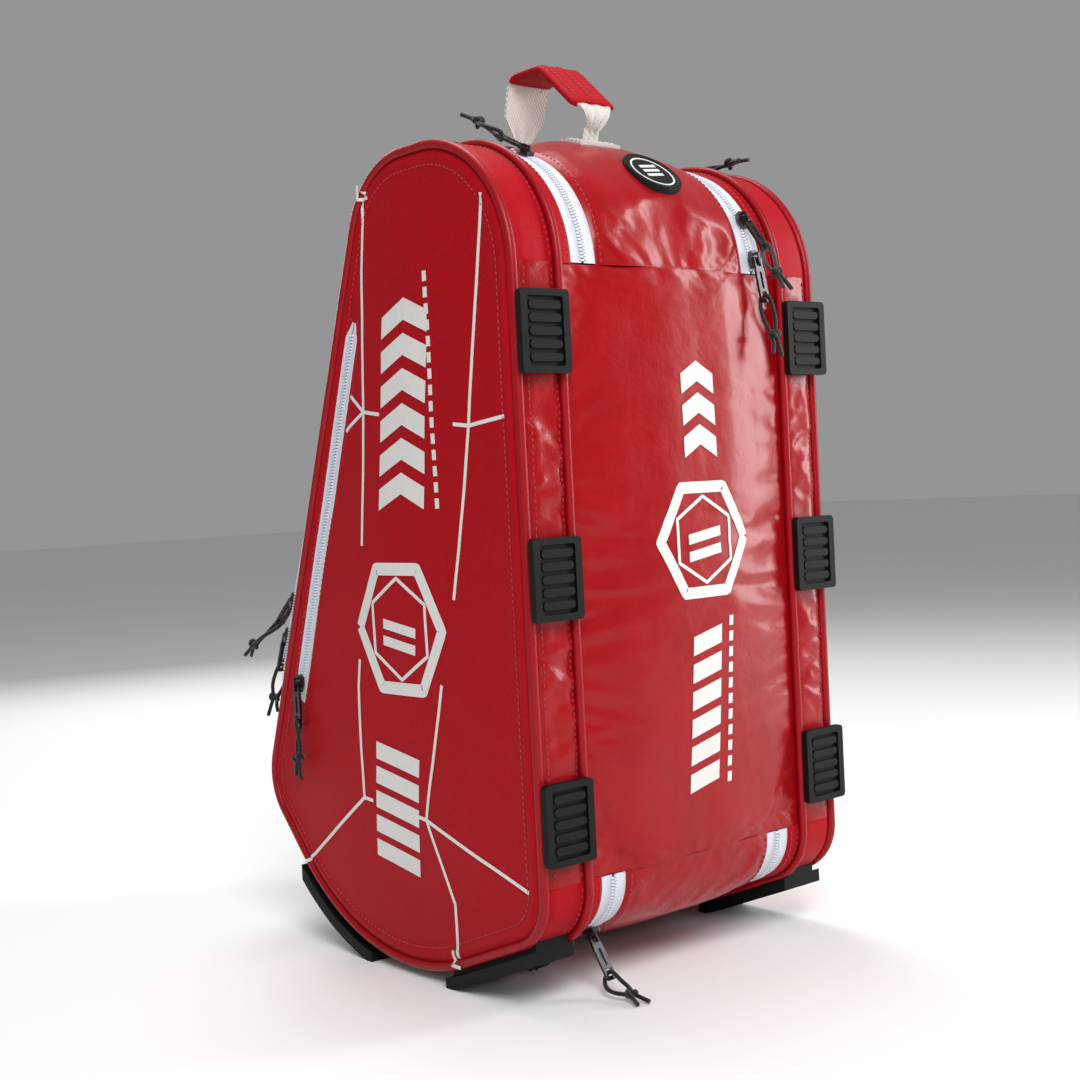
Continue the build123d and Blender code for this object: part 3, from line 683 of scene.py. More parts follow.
def plated_zinc(name, base):
    """Die-cast zinc in black nickel plate: dark mirror with a faint tumbled haze."""
    made, tree, surface = new_material(name, Metallic=1.0, Roughness=0.28)
    place = cloth_place(tree, "Object")
    tinted(tree, surface, base, cloud(tree, place, 6.0, 3.0), 0.35)
    haze = node(tree, "ShaderNodeMapRange", {0: cloud(tree, place, 3.0, 3.0), 3: 0.18, 4: 0.4})
    tree.links.new(haze.outputs[0], surface.inputs["Roughness"])
    bumped(tree, surface, cloud(tree, place, 1.2, 2.0), 0.04, 0.5)
    return made


def screen_ink(name, base):
    """Plastisol screen ink: a thin rubbery film that takes up the weave under it."""
    made, tree, surface = new_material(name, Roughness=0.45, IOR=1.5, Specular_IOR_Level=0.4)
    place = cloth_place(tree)
    tinted(tree, surface, base, cloud(tree, place, 5.0, 3.0), 0.1)
    bumped(tree, surface, weave(tree, place, 1.1), 0.08, 0.6)
    return made


def spacer_mesh(name, base):
    """Knitted spacer mesh: open hexagonal eyes over foam, 3 mm apart, drawn as bumps with painted shade in each eye.
    """
    made, tree, surface = new_material(
        name, Roughness=0.85, IOR=1.5, Sheen_Weight=0.4, Sheen_Roughness=0.5, Specular_IOR_Level=0.2,
    )
    place = cloth_place(tree)
    eyes = node(
        tree, "ShaderNodeTexVoronoi", {"Vector": place, "Scale": 1 / (3.0 * MM), "Randomness": 0.15},
        feature="F1",
    ).outputs[0]
    # each eye is painted darker towards its middle: painted shade where the open mesh shows the foam below
    tinted(tree, surface, tuple(c * 1.6 for c in base), maths(tree, "MULTIPLY", eyes, 1.6), 0.85)
    bumped(tree, surface, eyes, 0.8, 0.9)
    return made


def moulded_acetal(name, base):
    """Moulded acetal buckle: hard black plastic with a satin spark-eroded face."""
    made, tree, surface = new_material(name, Roughness=0.42, IOR=1.48)
    place = cloth_place(tree, "Object")
    tinted(tree, surface, base, cloud(tree, place, 9.0, 3.0), 0.2)
    bumped(tree, surface, cloud(tree, place, 0.7, 1.0), 0.05, 0.6)
    return made


def studio_floor(name, base):
    """Matte paper sweep."""
    made, tree, surface = new_material(name, Roughness=0.8, Specular_IOR_Level=0.2)
    tinted(tree, surface, base, cloud(tree, cloth_place(tree, "Object"), 600.0, 2.0), 0.02)
    return made


finishes = {}


def make_finishes(colours):
    """Makes every material of the bag, once."""
    matte, gloss = tuple(colours.matte_red), tuple(colours.gloss_red)
    finishes.update(
        matte=polyester_oxford("red_polyester_oxford", matte),
        gloss=coated_tarpaulin("red_coated_tarpaulin", gloss, (0.75, 0.3, 0.55)),
        piping=coated_piping("red_coated_piping", tuple(colours.piping_red)),
        tape=woven_tape("white_zipper_tape", tuple(colours.white_tape), 0.9, 1.3),
        coil=nylon_coil("white_nylon_coil", tuple(colours.white_tape)),
        webbing=woven_tape("white_nylon_webbing", tuple(colours.webbing), 1.3, 1.6, 0.62, 0.4),
        strap_tape=woven_tape("black_nylon_webbing", tuple(colours.black_cord), 1.3, 1.6, 0.62, 0.4),
        red_cloth=polyester_oxford("red_handle_cloth", matte, 1.0, 0.6, 0.1),
        thread=woven_tape("red_bonded_thread", tuple(c * 0.9 for c in matte), 0.6),
        white_thread=woven_tape("white_bonded_thread", tuple(colours.webbing), 0.6),
        ink=screen_ink("white_screen_ink", tuple(colours.ink_white)),
        cord=braided_cord("black_braided_cord", tuple(colours.black_cord)),
        rubber=moulded_rubber("black_moulded_rubber", tuple(colours.rubber)),
        metal=plated_zinc("gunmetal_plated_zinc", tuple(colours.gunmetal)),
        lining=polyester_oxford("grey_lining_taffeta", tuple(colours.lining), 0.8, 0.5, 0.05),
        mesh=spacer_mesh("black_spacer_mesh", tuple(colours.mesh_black)),
        acetal=moulded_acetal("black_moulded_acetal", tuple(colours.rubber)),
        floor=studio_floor("pale_paper_sweep", tuple(colours.floor)),
    )


# ---------------------------------------------------------------- stage

CAMERA_PLACE = (-0.79682, -0.96639, 0.34903)
CAMERA_RIGHT = (0.7633067, -0.6440135, -0.0510832)
CAMERA_UP = (0.0624009, -0.0052047, 0.9980376)
CAMERA_BACK = (-0.6430155, -0.7649964, 0.0362142)


def soft_box(name, place, aim, size, power):
    """A square studio soft box that faces a point."""
    light = bpy.data.lights.new(name, "AREA")
    light.shape = "RECTANGLE"
    light.size, light.size_y = size
    light.energy = power
    holder = bpy.data.objects.new(name, light)
    bpy.context.scene.collection.objects.link(holder)
    holder.location = place
    holder.rotation_euler = (Vector(aim) - Vector(place)).to_track_quat("-Z", "Y").to_euler()


def make_stage():
    scene = bpy.context.scene
    lens = bpy.data.cameras.new("camera")
    lens.lens, lens.sensor_width = 53.54, 36.0
    camera = bpy.data.objects.new("camera", lens)
    scene.collection.objects.link(camera)
    columns = (CAMERA_RIGHT, CAMERA_UP, CAMERA_BACK, CAMERA_PLACE)
    rows = [[column[k] for column in columns] for k in range(3)] + [[0, 0, 0, 1]]
    camera.matrix_world = Matrix(rows)
    scene.camera = camera
    sweep_size = 12.0
    mesh = bpy.data.meshes.new("floor")
    corners = [(-1, -1, 0), (1, -1, 0), (1, 1, 0), (-1, 1, 0)]
    mesh.from_pydata([[c * sweep_size for c in corner] for corner in corners], [], [(0, 1, 2, 3)])
    mesh.materials.append(finishes["floor"])
    floor = bpy.data.objects.new("floor", mesh)
    scene.collection.objects.link(floor)
    world = bpy.data.worlds.new("studio")
    world.use_nodes = True
    world.node_tree.nodes["Background"].inputs[0].default_value = (1.0, 1.0, 1.0, 1)
    world.node_tree.nodes["Background"].inputs[1].default_value = 0.3
    scene.world = world
    scene.view_settings.view_transform = "Standard"
    middle = (0, 0, 0.3)
    soft_box("key_light", (-0.9, -1.5, 1.5), middle, (0.9, 0.9), 32)
    soft_box("right_light", (1.6, -1.0, 0.8), middle, (0.4, 1.4), 24)
    soft_box("top_light", (0.1, 0.3, 1.8), middle, (0.8, 0.8), 12)
    soft_box("back_light", (0.6, 1.7, 1.1), middle, (1.0, 1.0), 12)


# ---------------------------------------------------------------- zipper pull cords

def turned(direction, degrees_turn):
    """A (y, z) direction turned anticlockwise, seen along -X."""
    angle = math.radians(degrees_turn)
    y, z = direction
    return np.array((y * math.cos(angle) - z * math.sin(angle), y * math.sin(angle) + z * math.cos(angle)))


def unit(vector):
    vector = np.asarray(vector, float)
    return vector / np.linalg.norm(vector)


back_up = unit(np.array(crown_corner) - np.array(hip_corner))
base_back = unit(np.array(belly_corner) - np.array((0, nose_rise)))
cord_radius = 1.5
pull_rise = 5.0
cord_slot = 27.6
strand = 3.3
side_chain = gusset_x - 5.2
pocket_top, pocket_end = np.array((183.0, 470.0)), np.array((286.0, 190.0))
pocket_up = unit(pocket_top - pocket_end)
# Routes in each puller's own frame: down along it, across it, and out from it.
LONG_LOOP = [
    (74, 3.6, 2.4), (66, 2.2, 3.0), (57, 1.7, 1.8), (47.5, 4.6, 2.2), (38, 3.4, 3.2), (cord_slot, 0.4, strand),
    (cord_slot, -0.4, -strand), (37, -3.6, -2.6), (47, -4.8, -0.4), (56.5, -1.7, 1.2), (65, -2.4, 2.6),
    (71, -4.4, 2.0),
]
LONG_KNOT = (57.5, 0, 2.2)
SIDE_LOOP = [
    (75, -7.0, 3.0), (67, -8.6, 3.6), (58, -9.0, 2.4), (48, -4.6, 2.8), (37.5, -0.6, 3.6), (cord_slot, 0.4, strand),
    (cord_slot, -0.4, -strand), (36.5, -5.0, -2.4), (46.5, -11.4, -0.8), (57, -12.2, 1.4), (66, -12.0, 3.0),
    (72.5, -14.0, 2.4),
]
SIDE_KNOT = (58, -10.6, 2.4)
# Routes that end on the floor, from the slot: down, across, and forward or back along the floor
FORE_LOOP = [
    (13.8, 4.6, 34), (12.2, 3.0, 28), (10.4, 1.7, 21), (8.0, 4.6, 14), (4.6, 3.4, 7.6), (-1.85, 0.4, 2.75),
    (1.85, -0.4, -2.75), (7.4, -3.6, -1.2), (10.4, -5.4, 5), (10.9, -4.6, 13), (10.4, -1.7, 20.6),
    (12.4, -3.0, 27.5), (13.8, -5.0, 32.5),
]
FORE_KNOT = (10.2, 0, 20.8)
AFT_LOOP = [
    (13.4, 4.6, 31), (12.0, 3.0, 25.5), (10.2, 1.7, 19), (9.0, 4.2, 12.4), (6.2, 3.4, 5), (2.75, 0.4, -1.85),
    (-2.75, -0.4, 1.85), (-0.8, -3.6, 8.6), (4.8, -4.6, 13.4), (10.0, -1.7, 19.4), (12.0, -3.0, 26),
    (13.4, -5.0, 30.5),
]
AFT_KNOT = (9.8, 0, 19.2)


def mirrored(route):
    return [(x, -y, z) for x, y, z in route]


def puller_frame(name):
    """A puller's hinge point, read from its hinge joint in model.json."""
    joint = next(j for j in frame["joints"] if j["name"] == f"{name}_puller_hinge")
    return np.array(joint["pos_m"]) / MM


def in_frame(origin, down, out, points):
    """Points given down, across and out, in the bag's frame."""
    across = np.cross(out, down)
    axes = np.stack([down, across, out])
    return np.asarray(origin) + np.asarray(points, float) @ axes


def upright(y_z):
    return np.array((0.0, y_z[0], y_z[1]))


def knot_mesh(mesh, centre, down, out, size=4.2):
    """An overhand knot pulled tight, with its strand wound three times through itself."""
    turn = np.linspace(0, 2 * math.pi, 72, endpoint=False)
    local = np.stack([
        np.sin(3 * turn) * 1.1,
        (np.sin(turn) + 1.6 * np.sin(2 * turn)),
        (np.cos(turn) - 1.6 * np.cos(2 * turn)),
    ], axis=1) * size / 3.1
    sweep(mesh, in_frame(centre, down, out, local), ring(1.75, 8), closed=True)


def make_cord(name, body, origin, down, out, route, knot, knot_down, far, cad_node=None):
    """One zipper pull's cord as a smooth curve, and its knot."""
    points = in_frame(origin, down, out, route)
    curve = bpy.data.curves.new(f"{name}_cord_line", "CURVE")
    curve.dimensions = "3D"
    curve.bevel_depth = cord_radius * MM
    curve.bevel_resolution = 3
    curve.use_fill_caps = True
    spline = curve.splines.new("NURBS")
    spline.points.add(len(points) - 1)
    for place, point in zip(spline.points, points):
        place.co = (*(point * MM), 1.0)
    spline.order_u = 3
    spline.use_endpoint_u = True
    spline.resolution_u = 8
    curve.materials.append(finishes["cord"])
    cord = bpy.data.objects.new(f"{name}_pull_cord", curve)
    bpy.context.scene.collection.objects.link(cord)
    centre = in_frame(origin, down, out, [knot])[0]
    mesh = Mesh()
    knot_mesh(mesh, centre, knot_down, out)
    knot_piece = mesh.build(f"{name}_pull_knot", finishes["cord"])
    finish_piece(knot_piece, body, "black_cord")
    finish_piece(cord, body, "black_cord", *([cad_node] if cad_node else []))
    slot_at = (cord_slot, 0, 0) if route[0][0] > 40 else (0, 0, 0)
    way_out = in_frame(origin, down, out, [(np.array(route[0]) + slot_at) / 2])[0]


def make_cords():
    """The cord loops of the zipper pulls."""
    upper_hang = turned(-back_up, 26)
    front_hang, rear_hang = turned((0, -1), -34), turned((0, -1), 56)
    upper_front, lower_front = turned((0, -1), -37), turned((0, -1), -11)
    top_hang = turned((1, 0), 27)
    hanging = [
        ("left_side_upper", upper_hang, turned(upper_hang, 90), mirrored(SIDE_LOOP),
         (SIDE_KNOT[0], -SIDE_KNOT[1], SIDE_KNOT[2]), 101.7, True),
        ("left_side_lower", -back_up, turned(back_up, -90), LONG_LOOP, LONG_KNOT, 96.4, True),
        ("right_centre_upper", upper_front, turned(upper_front, -90), SIDE_LOOP, SIDE_KNOT, 101.7, True),
        ("right_centre_lower", lower_front, turned(lower_front, -90), LONG_LOOP, LONG_KNOT, 96.4, True),
        ("left_top", top_hang, turned((0, 1), 27), LONG_LOOP, LONG_KNOT, 96.4, False),
        ("right_side", np.array((-1.0, 0.0)), np.array((0.0, 1.0)), LONG_LOOP, LONG_KNOT, 96.4, False),
    ]
    for name, hang, out, route, knot, long, in_cad in hanging:
        make_cord(
            name, f"{name}_pull", puller_frame(name), upright(hang), upright(out), route, knot, upright(hang),
            long, f"{name}_cord" if in_cad else None,
        )
    make_cord(
        "left_pocket", "left_pocket_pull", puller_frame("left_pocket"), np.array((0, 0, -1.0)),
        np.array((-1.0, 0, 0)), LONG_LOOP, LONG_KNOT, np.array((0, 0, -1.0)), 96.4, "left_pocket_cord",
    )
    floor_ways = (
        ("left_base_front", front_hang, -1.0, FORE_LOOP, FORE_KNOT, 84.0),
        ("left_base_rear", rear_hang, 1.0, AFT_LOOP, AFT_KNOT, 75.4),
    )
    for name, hang, way, route, knot, long in floor_ways:
        slot = puller_frame(name) + upright(hang) * cord_slot
        make_cord(
            name, f"{name}_pull", slot, np.array((0, 0, -1.0)), np.array((0, way, 0)), route, knot,
            np.array((0, 0, -1.0)), long, f"{name}_cord",
        )


# ---------------------------------------------------------------- sewn panels

def panel_rise(s, x, half, profile):
    """Lift of a centre panel: flat to its seams and crowned between them."""
    share = 1 - np.clip(np.abs(x) / half, 0, 1) ** 2.4
    return -skin + profile(s)[:, None] * share


def coords_of(s, x):
    s, x = np.asarray(s, float), np.asarray(x, float)
    if x.ndim == 1:
        x = np.broadcast_to(x, (len(s), len(x)))
    return np.stack([x, np.broadcast_to(s[:, None], x.shape)], axis=2)


def edge_roll(distance, width):
    """From 0 at a seam to 1 a width away, steep at first, like padding under cloth."""
    t = np.clip(distance / width, 0, 1)
    return np.sqrt(np.clip(1 - (1 - t) ** 2, 0, 1))


def make_front(sizes):
    """The glossy front between the two seam pipings, in two halves."""
    profile = core_profile(sizes)
    half = seam_x - 0.8
    s, x = spread(0, s_low, 3.4), spread(-half, half, 3.4)
    if len(x) % 2 == 0:
        x = np.linspace(-half, half, len(x) + 1)
    seam_gap = np.minimum(s, s_low - s)
    wide = 76 + (half - 76) * smooth(seam_gap / 90)[:, None]
    rise = panel_rise(s, x[None, :], wide, profile)
    flat = wrap_grid(s, x, rise)
    cloth = settle(flat, 0.012, sizes.cloth_pressure)
    # folds that run down from the top seam, and shallow creases towards the pipings
    way = grid_normals(cloth)
    folds = waves(cloth, 30, 3, (1.0, 1.0, 0.16)) * 1.1 + waves(cloth, 12, 8, (1.0, 1.0, 0.22)) * 0.25
    near_seam = (0.35 + np.exp(-seam_gap / 55))[:, None]
    inside = edge_roll(np.minimum(half - np.abs(x), 30.0), 30.0)[None, :]
    cloth = cloth + way * (folds * near_seam * sizes.crease * inside)[..., None]
    cloth[:, :, 1] = np.maximum(cloth[:, :, 1], cad_box[0][1] / MM - 6)
    way = grid_normals(cloth)
    coords = coords_of(s, x)
    middle = len(x) // 2
    for side, sign in SIDES:
        mesh = Mesh()
        pick = slice(0, middle + 1) if sign < 0 else slice(middle, len(x))
        add_slab(mesh, cloth[:, pick], 1.4, coords[:, pick], lining=1, normals=way[:, pick])
        piece = mesh.build(f"front_panel_{side}_half", finishes["gloss"], finishes["lining"])
        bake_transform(piece)
        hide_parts("front_panel")


def make_core_panel(name, slot, sizes, s_from, s_to, finish, folds, seed, nodes, channels=False):
    """A centre panel between the zipper tapes: over the top, down the back or under the base."""
    profile = core_profile(sizes)
    half = zip_x - tape + 1.2
    s, x = spread(s_from, s_to, 3.4), spread(-half, half, 3.4)
    rise = panel_rise(s, x[None, :], half, profile)
    edge = np.minimum(half - np.abs(x), 6.0)
    rise = rise + 1.0 * edge_roll(edge, 6.0)[None, :] - 0.4
    if channels:
        # foam channels under the mesh, as wide as a hand, with a deeper one down the middle
        across = np.abs(np.sin(np.clip((s - s_from) / 46.0, 0, None) * math.pi))[:, None] ** 0.35
        down = np.clip(np.abs(x) / 9.0, 0, 1)[None, :] ** 0.6
        ends = edge_roll(np.minimum(s - s_from, s_to - s), 14.0)[:, None]
        rise = rise + 3.4 * across * down * ends * edge_roll(np.minimum(half - np.abs(x), 14.0), 14.0)[None, :]
    cloth = wrap_grid(s, x, rise)
    if folds:
        cloth = settle(cloth, 0.02, sizes.cloth_pressure * 0.6)
        way = grid_normals(cloth)
        wrinkle = waves(cloth, 30, seed, (1.0, 0.35, 0.35)) * 1.4 + waves(cloth, 12, seed + 2, (1.0, 0.4, 0.4)) * 0.4
        inside = edge_roll(np.minimum(half - np.abs(x), 20.0), 20.0)[None, :]
        cloth = cloth + way * (wrinkle * inside * sizes.crease * folds)[..., None]
    mesh = Mesh()
    add_slab(mesh, cloth, 1.4, coords_of(s, x), lining=1)
    piece = mesh.build(name, finish, finishes["lining"])
    return finish_piece(piece, "core", slot, *nodes)


def make_core_panels(sizes):
    gloss = finishes["gloss"]
    make_core_panel("top_panel_cloth", "gloss_red", sizes, s_back_top, girth.length, gloss, 1.0, 4, ["top_panel"])
    make_core_panel("base_panel_cloth", "gloss_red", sizes, s_low, s_base_end, gloss, 0.4, 9, ["base_panel"])
    make_core_panel(
        "back_panel_mesh", "black_mesh", sizes, s_base_end, s_back_top, finishes["mesh"], 0, 5,
        ["back_panel"], channels=True,
    )


def make_gussets(sizes):
    """The gusset fabric of each wing: glossy and creased in front, matte round the rest."""
    for side, sign in SIDES:
        near, far = seam_x + 0.8, gusset_x - 0.4
        s, u = spread(0, s_low, 2.6), spread(0, 1, 1 / 13)
        x = near + (far - near) * u
        rise = np.broadcast_to(-skin + 1.9 * edge_roll(np.minimum(x - near, far - x), 9.0), (len(s), len(x)))
        if sign < 0:
            x = -x[::-1]
            rise = rise[:, ::-1]
        cloth = wrap_grid(s, x, rise)
        creases = crumple(cloth, 34, 2 if sign < 0 else 6, (0.8, 1.0, 1.35))
        gap_to_pad = np.min([np.abs(s - (seam_top - low - 27)) for low in (418, 259, 101)], axis=0)
        loose = (0.25 + 0.75 * smooth((gap_to_pad - 24) / 30))[:, None]
        hold = edge_roll(np.minimum(np.abs(x) - near, far - np.abs(x)), 8.0)[None, :]
        way = grid_normals(cloth)
        height_off = (creases - 0.35) * 4.4 * sizes.crease * loose * hold
        cloth = cloth + way * np.clip(height_off, -1.4, 3.6)[..., None]
        mesh = Mesh()
        add_slab(mesh, cloth, 1.4, coords_of(s, x), lining=1)
        piece = mesh.build(f"{side}_gusset_front_cloth", finishes["gloss"], finishes["lining"])
        finish_piece(piece, f"{side}_wing", "gloss_red", f"{side}_gusset_front")

        s = spread(s_low, girth.length, 3.0)
        past = smooth((s - s_zip_base) / 12) * smooth((s_zip_top - s) / 12)
        outer = far - (tape - 1.0) * past
        for part, low, high in (("outer", near, outer), ("inner", zip_x + tape - 1.2, seam_x - 0.8)):
            high = np.broadcast_to(high, s.shape)
            u = spread(0, 1, 1 / (11 if part == "outer" else 6))
            x = low + (high - low)[:, None] * u[None, :]
            puff = edge_roll(np.minimum(x - low, high[:, None] - x), 6.0)
            rise = -skin + 1.3 * puff
            if sign < 0:
                x, rise = -x[:, ::-1], rise[:, ::-1]
            cloth = wrap_grid(s, x, rise)
            slack = waves(cloth, 24, 11 + sign, (1.0, 0.7, 0.7)) * 0.5
            cloth = cloth + grid_normals(cloth) * (slack * (puff if sign > 0 else puff[:, ::-1]))[..., None]
            mesh = Mesh()
            add_slab(mesh, cloth, 1.4, coords_of(s, x), lining=1)
            piece = mesh.build(f"{side}_gusset_{part}_cloth", finishes["matte"], finishes["lining"])
            finish_piece(piece, f"{side}_wing", "matte_red", f"{side}_gusset_wrap")


def side_rise(edge_gap, sizes):
    """Lift of a side panel over its groove beside the piping."""
    return 2.2 * edge_roll(edge_gap, 9.0) + sizes.side_bulge * smooth(edge_gap / 110)


class DPanel:
    """A D-shaped panel inside an outline: rings of points, and how far each lies from the edge."""

    def __init__(self, loop, inset, step=3.6, rings=46):
        s = spread(0, loop.length, step)[:-1]
        edge = loop.at(s) - loop.out(s) * inset
        self.centre = edge.mean(axis=0)
        t = 1 - (1 - np.linspace(0, 1, rings + 1)[1:]) ** 1.5
        self.flat = self.centre + (edge[None] - self.centre) * t[:, None, None]
        self.edge = edge
        self.gap = self.edge_gap(self.flat.reshape(-1, 2)).reshape(self.flat.shape[:2])

    def edge_gap(self, points):
        return np.array([np.linalg.norm(self.edge - p, axis=1).min() for p in points])

    def add_to(self, mesh, x, sign, rise, thick, lining=1):
        """Adds the panel as a closed slab; rise is how far each point stands out from x."""
        outer = np.concatenate([(sign * (x + rise))[..., None], self.flat], axis=2)
        facing = np.sum(grid_normals(outer, True)[..., 0]) * sign
        order = slice(None) if facing > 0 else slice(None, None, -1)
        outer, coords = outer[:, order], self.flat[:, order]
        add_slab(mesh, outer, thick, coords, lining=lining, closed=True)
        for ring_points, back in ((outer[0], False), (outer[0] - grid_normals(outer, True)[0] * thick, True)):
            count = len(ring_points)
            points = np.vstack([ring_points, ring_points.mean(axis=0)])
            fan = [[j, (j + 1) % count, count] for j in range(count)]
            fan = [f[::-1] for f in fan] if back else fan
            way = np.tile((sign * (-1.0 if back else 1.0), 0, 0), (count + 1, 1))
            flat = np.vstack([coords[0], self.centre])
            mesh.add(points, fan, flat, lining if back else 0, way)
        return outer


def door_blend(piece):
    """Bakes a side piece's placement into its points."""
    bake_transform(piece)


def make_side_panels(sizes):
    """The two matte side panels, with the thick piping and its welt round each."""
    for side, sign in SIDES:
        panel = DPanel(door_edge, 2 * piping_radius - 0.6)
        gap = panel.gap
        rise = side_rise(gap, sizes)
        place = np.concatenate([np.full(gap.shape + (1,), sign * side_x), panel.flat], axis=2)
        rise = rise + smooth(gap / 30) * (waves(place, 85, 13) * 1.3 + waves(place, 26, 14) * 0.3)
        welt_gap = np.abs(gap - 5.5)
        rise = rise + 1.3 * np.exp(-(welt_gap / 1.9) ** 2)
        along = pocket_gap(panel.flat)
        rise = rise - 1.2 * np.exp(-(along / 7.5) ** 4)
        mesh = Mesh()
        panel.add_to(mesh, side_x - 1.4, sign, rise, 1.8)
        piece = mesh.build(f"{side}_side_cloth", finishes["matte"], finishes["lining"])
        side_cloths[side] = piece
        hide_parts(f"{side}_side_panel", f"{side}_panel_front")
        door_blend(piece)

        mesh = Mesh()
        s = spread(0, door_edge.length, 3.0)[:-1]
        centre = door_edge.at(s) - door_edge.out(s) * piping_radius
        line = np.column_stack([np.full(len(s), sign * (side_x - 1.4)), centre])
        sweep(mesh, line, ring(piping_radius, 14), closed=True, up=(1, 0, 0))
        piece = mesh.build(f"{side}_side_piping", finishes["piping"])
        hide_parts(f"{side}_door_piping")
        door_blend(piece)


side_cloths = {}


def pocket_gap(points):
    """How far (y, z) points lie from the pocket zipper's middle line."""
    low, high = placed(pocket_end), placed(pocket_top)
    run = unit(high - low)
    along = np.clip((points - low) @ run, 0, np.linalg.norm(high - low))
    return np.linalg.norm(points - low - along[..., None] * run, axis=-1)


def make_seam_pipings(sizes):
    for side, sign in SIDES:
        mesh = Mesh()
        s = spread(0, girth.length, 3.0)[:-1]
        line, up = wrap_line(s, sign * seam_x, np.zeros(len(s)))
        wobble = waves(line * 1.0, 22, 17) * 0.25
        line = line + up * wobble[:, None]
        sweep(mesh, line, ring(seam_radius, 14), closed=True, up=(1, 0, 0))
        piece = mesh.build(f"{side}_seam_piping_cloth", finishes["piping"])
        finish_piece(piece, f"{side}_wing", "red_piping", f"{side}_seam_piping")


def make_linings(sizes):
    """The wings' inner walls and the middle divider, quilted."""
    inner_x = -box_mm("left_inner_wall")[1][0]
    for name, x, sign, body, node_name in (
        ("left_inner_lining", inner_x + 1.5, -1, "left_wing", "left_inner_wall"),
        ("right_inner_lining", inner_x + 1.5, 1, "right_wing", "right_inner_wall"),
        ("centre_divider_lining", 0.0, 1, "core", "centre_divider"),
    ):
        panel = DPanel(girth, skin + 8.0, step=6.0, rings=40)
        y, z = panel.flat[..., 0], panel.flat[..., 1]
        quilt = np.abs(np.sin((y + z) * math.pi / 70) * np.sin((y - z) * math.pi / 70)) ** 0.5
        puff = 1.5 * edge_roll(panel.gap, 12.0) * (0.35 + 0.65 * quilt)
        for face_sign, tag in ((1, "outer"), (-1, "inner")):
            mesh = Mesh()
            way = sign * face_sign
            panel.add_to(mesh, x * face_sign if sign == way else -x, way, puff, 1.2, lining=0)
            piece = mesh.build(f"{name}_{tag}", finishes["lining"])
            finish_piece(piece, body, "grey_lining", node_name)


# ---------------------------------------------------------------- laying pieces on the cloth

def skin_of(*pieces):
    """The faces of mesh objects, to find their surface along a line."""
    points, faces = [], []
    for piece in pieces:
        start = len(points)
        points += [v.co for v in piece.data.vertices]
        faces += [[start + i for i in p.vertices] for p in piece.data.polygons]
    return BVHTree.FromPolygons(points, faces)


def snapped(tree, points, ways, reach=14.0):
    """Points moved along their outward ways onto a surface, where one is in reach."""
    placed_points = np.array(points, float)
    for i, (point, way) in enumerate(zip(placed_points, np.asarray(ways, float))):
        hit = tree.ray_cast(Vector((point + way * reach) * MM), Vector(-way), 2 * reach * MM)[0]
        if hit is not None:
            placed_points[i] = np.array(hit) / MM
    return placed_points


def lay_film(mesh, tree, flat, spot, way, thick, finish=0):
    """A thin film over a grid of flat (u, v) points; spot places one, and way points out of the cloth."""
    rows, cols = flat.shape[:2]
    way = np.asarray(way, float)
    grid = np.array([spot(u, v) for u, v in flat.reshape(-1, 2)])
    grid = snapped(tree, grid, np.tile(way, (len(grid), 1))).reshape(rows, cols, 3)
    if np.sum(grid_normals(grid) @ way) < 0:
        grid, flat = grid[:, ::-1], flat[:, ::-1]
    # it stands off a little, so that the cloth never shows through between its points
    add_slab(mesh, grid + way * (thick + 0.25), thick, flat)


def strip_grid(path, width, step=2.5):
    """A flat ribbon's grid along a path of (u, v) points."""
    path = np.asarray(path, float)
    steps = np.linalg.norm(np.diff(path, axis=0), axis=1)
    travel = np.concatenate([[0], np.cumsum(steps)])
    at = np.unique(np.concatenate([travel, spread(0, travel[-1], step)]))
    line = np.stack([np.interp(at, travel, path[:, k]) for k in (0, 1)], axis=1)
    run = np.gradient(line, axis=0)
    run /= np.linalg.norm(run, axis=1, keepdims=True)
    side = np.stack([-run[:, 1], run[:, 0]], axis=1)
    offsets = spread(-width / 2, width / 2, 2.0)
    return line[:, None] + side[:, None] * offsets[None, :, None]


def patch_grid(corners, step=2.0):
    """A four-cornered patch's grid: corners go round it."""
    a, b, c, d = (np.asarray(p, float) for p in corners)
    rows = max(2, int(np.linalg.norm(d - a) / step) + 1)
    cols = max(2, int(np.linalg.norm(b - a) / step) + 1)
    v, u = np.meshgrid(np.linspace(0, 1, rows), np.linspace(0, 1, cols), indexing="ij")
    u, v = u[..., None], v[..., None]
    return (a * (1 - u) + b * u) * (1 - v) + (d * (1 - u) + c * u) * v


def hexagon(centre, radius, turn=0.0):
    angles = np.radians(np.arange(0, 361, 60) + turn)
    return np.array(centre) + radius * np.stack([np.cos(angles), np.sin(angles)], axis=1)


def slanted_bars(low, high, left, right, pitch, thick, slope):
    """Slanted bars between two heights, as four-cornered patches."""
    made = []
    v = low
    while v + thick <= high:
        made.append([(left, v), (right, v + slope), (right, v + slope + thick), (left, v + thick)])
        v += pitch
    return made


def chevrons(low, high, left, right, pitch, thick, rise):
    """Pointed bars, each as two patches that meet on the middle line."""
    made, middle, v = [], (left + right) / 2, low
    while v + rise + thick <= high:
        made.append([(left, v), (middle, v + rise), (middle, v + rise + thick), (left, v + thick)])
        made.append([(middle, v + rise), (right, v), (right, v + thick), (middle, v + rise + thick)])
        v += pitch
    return made


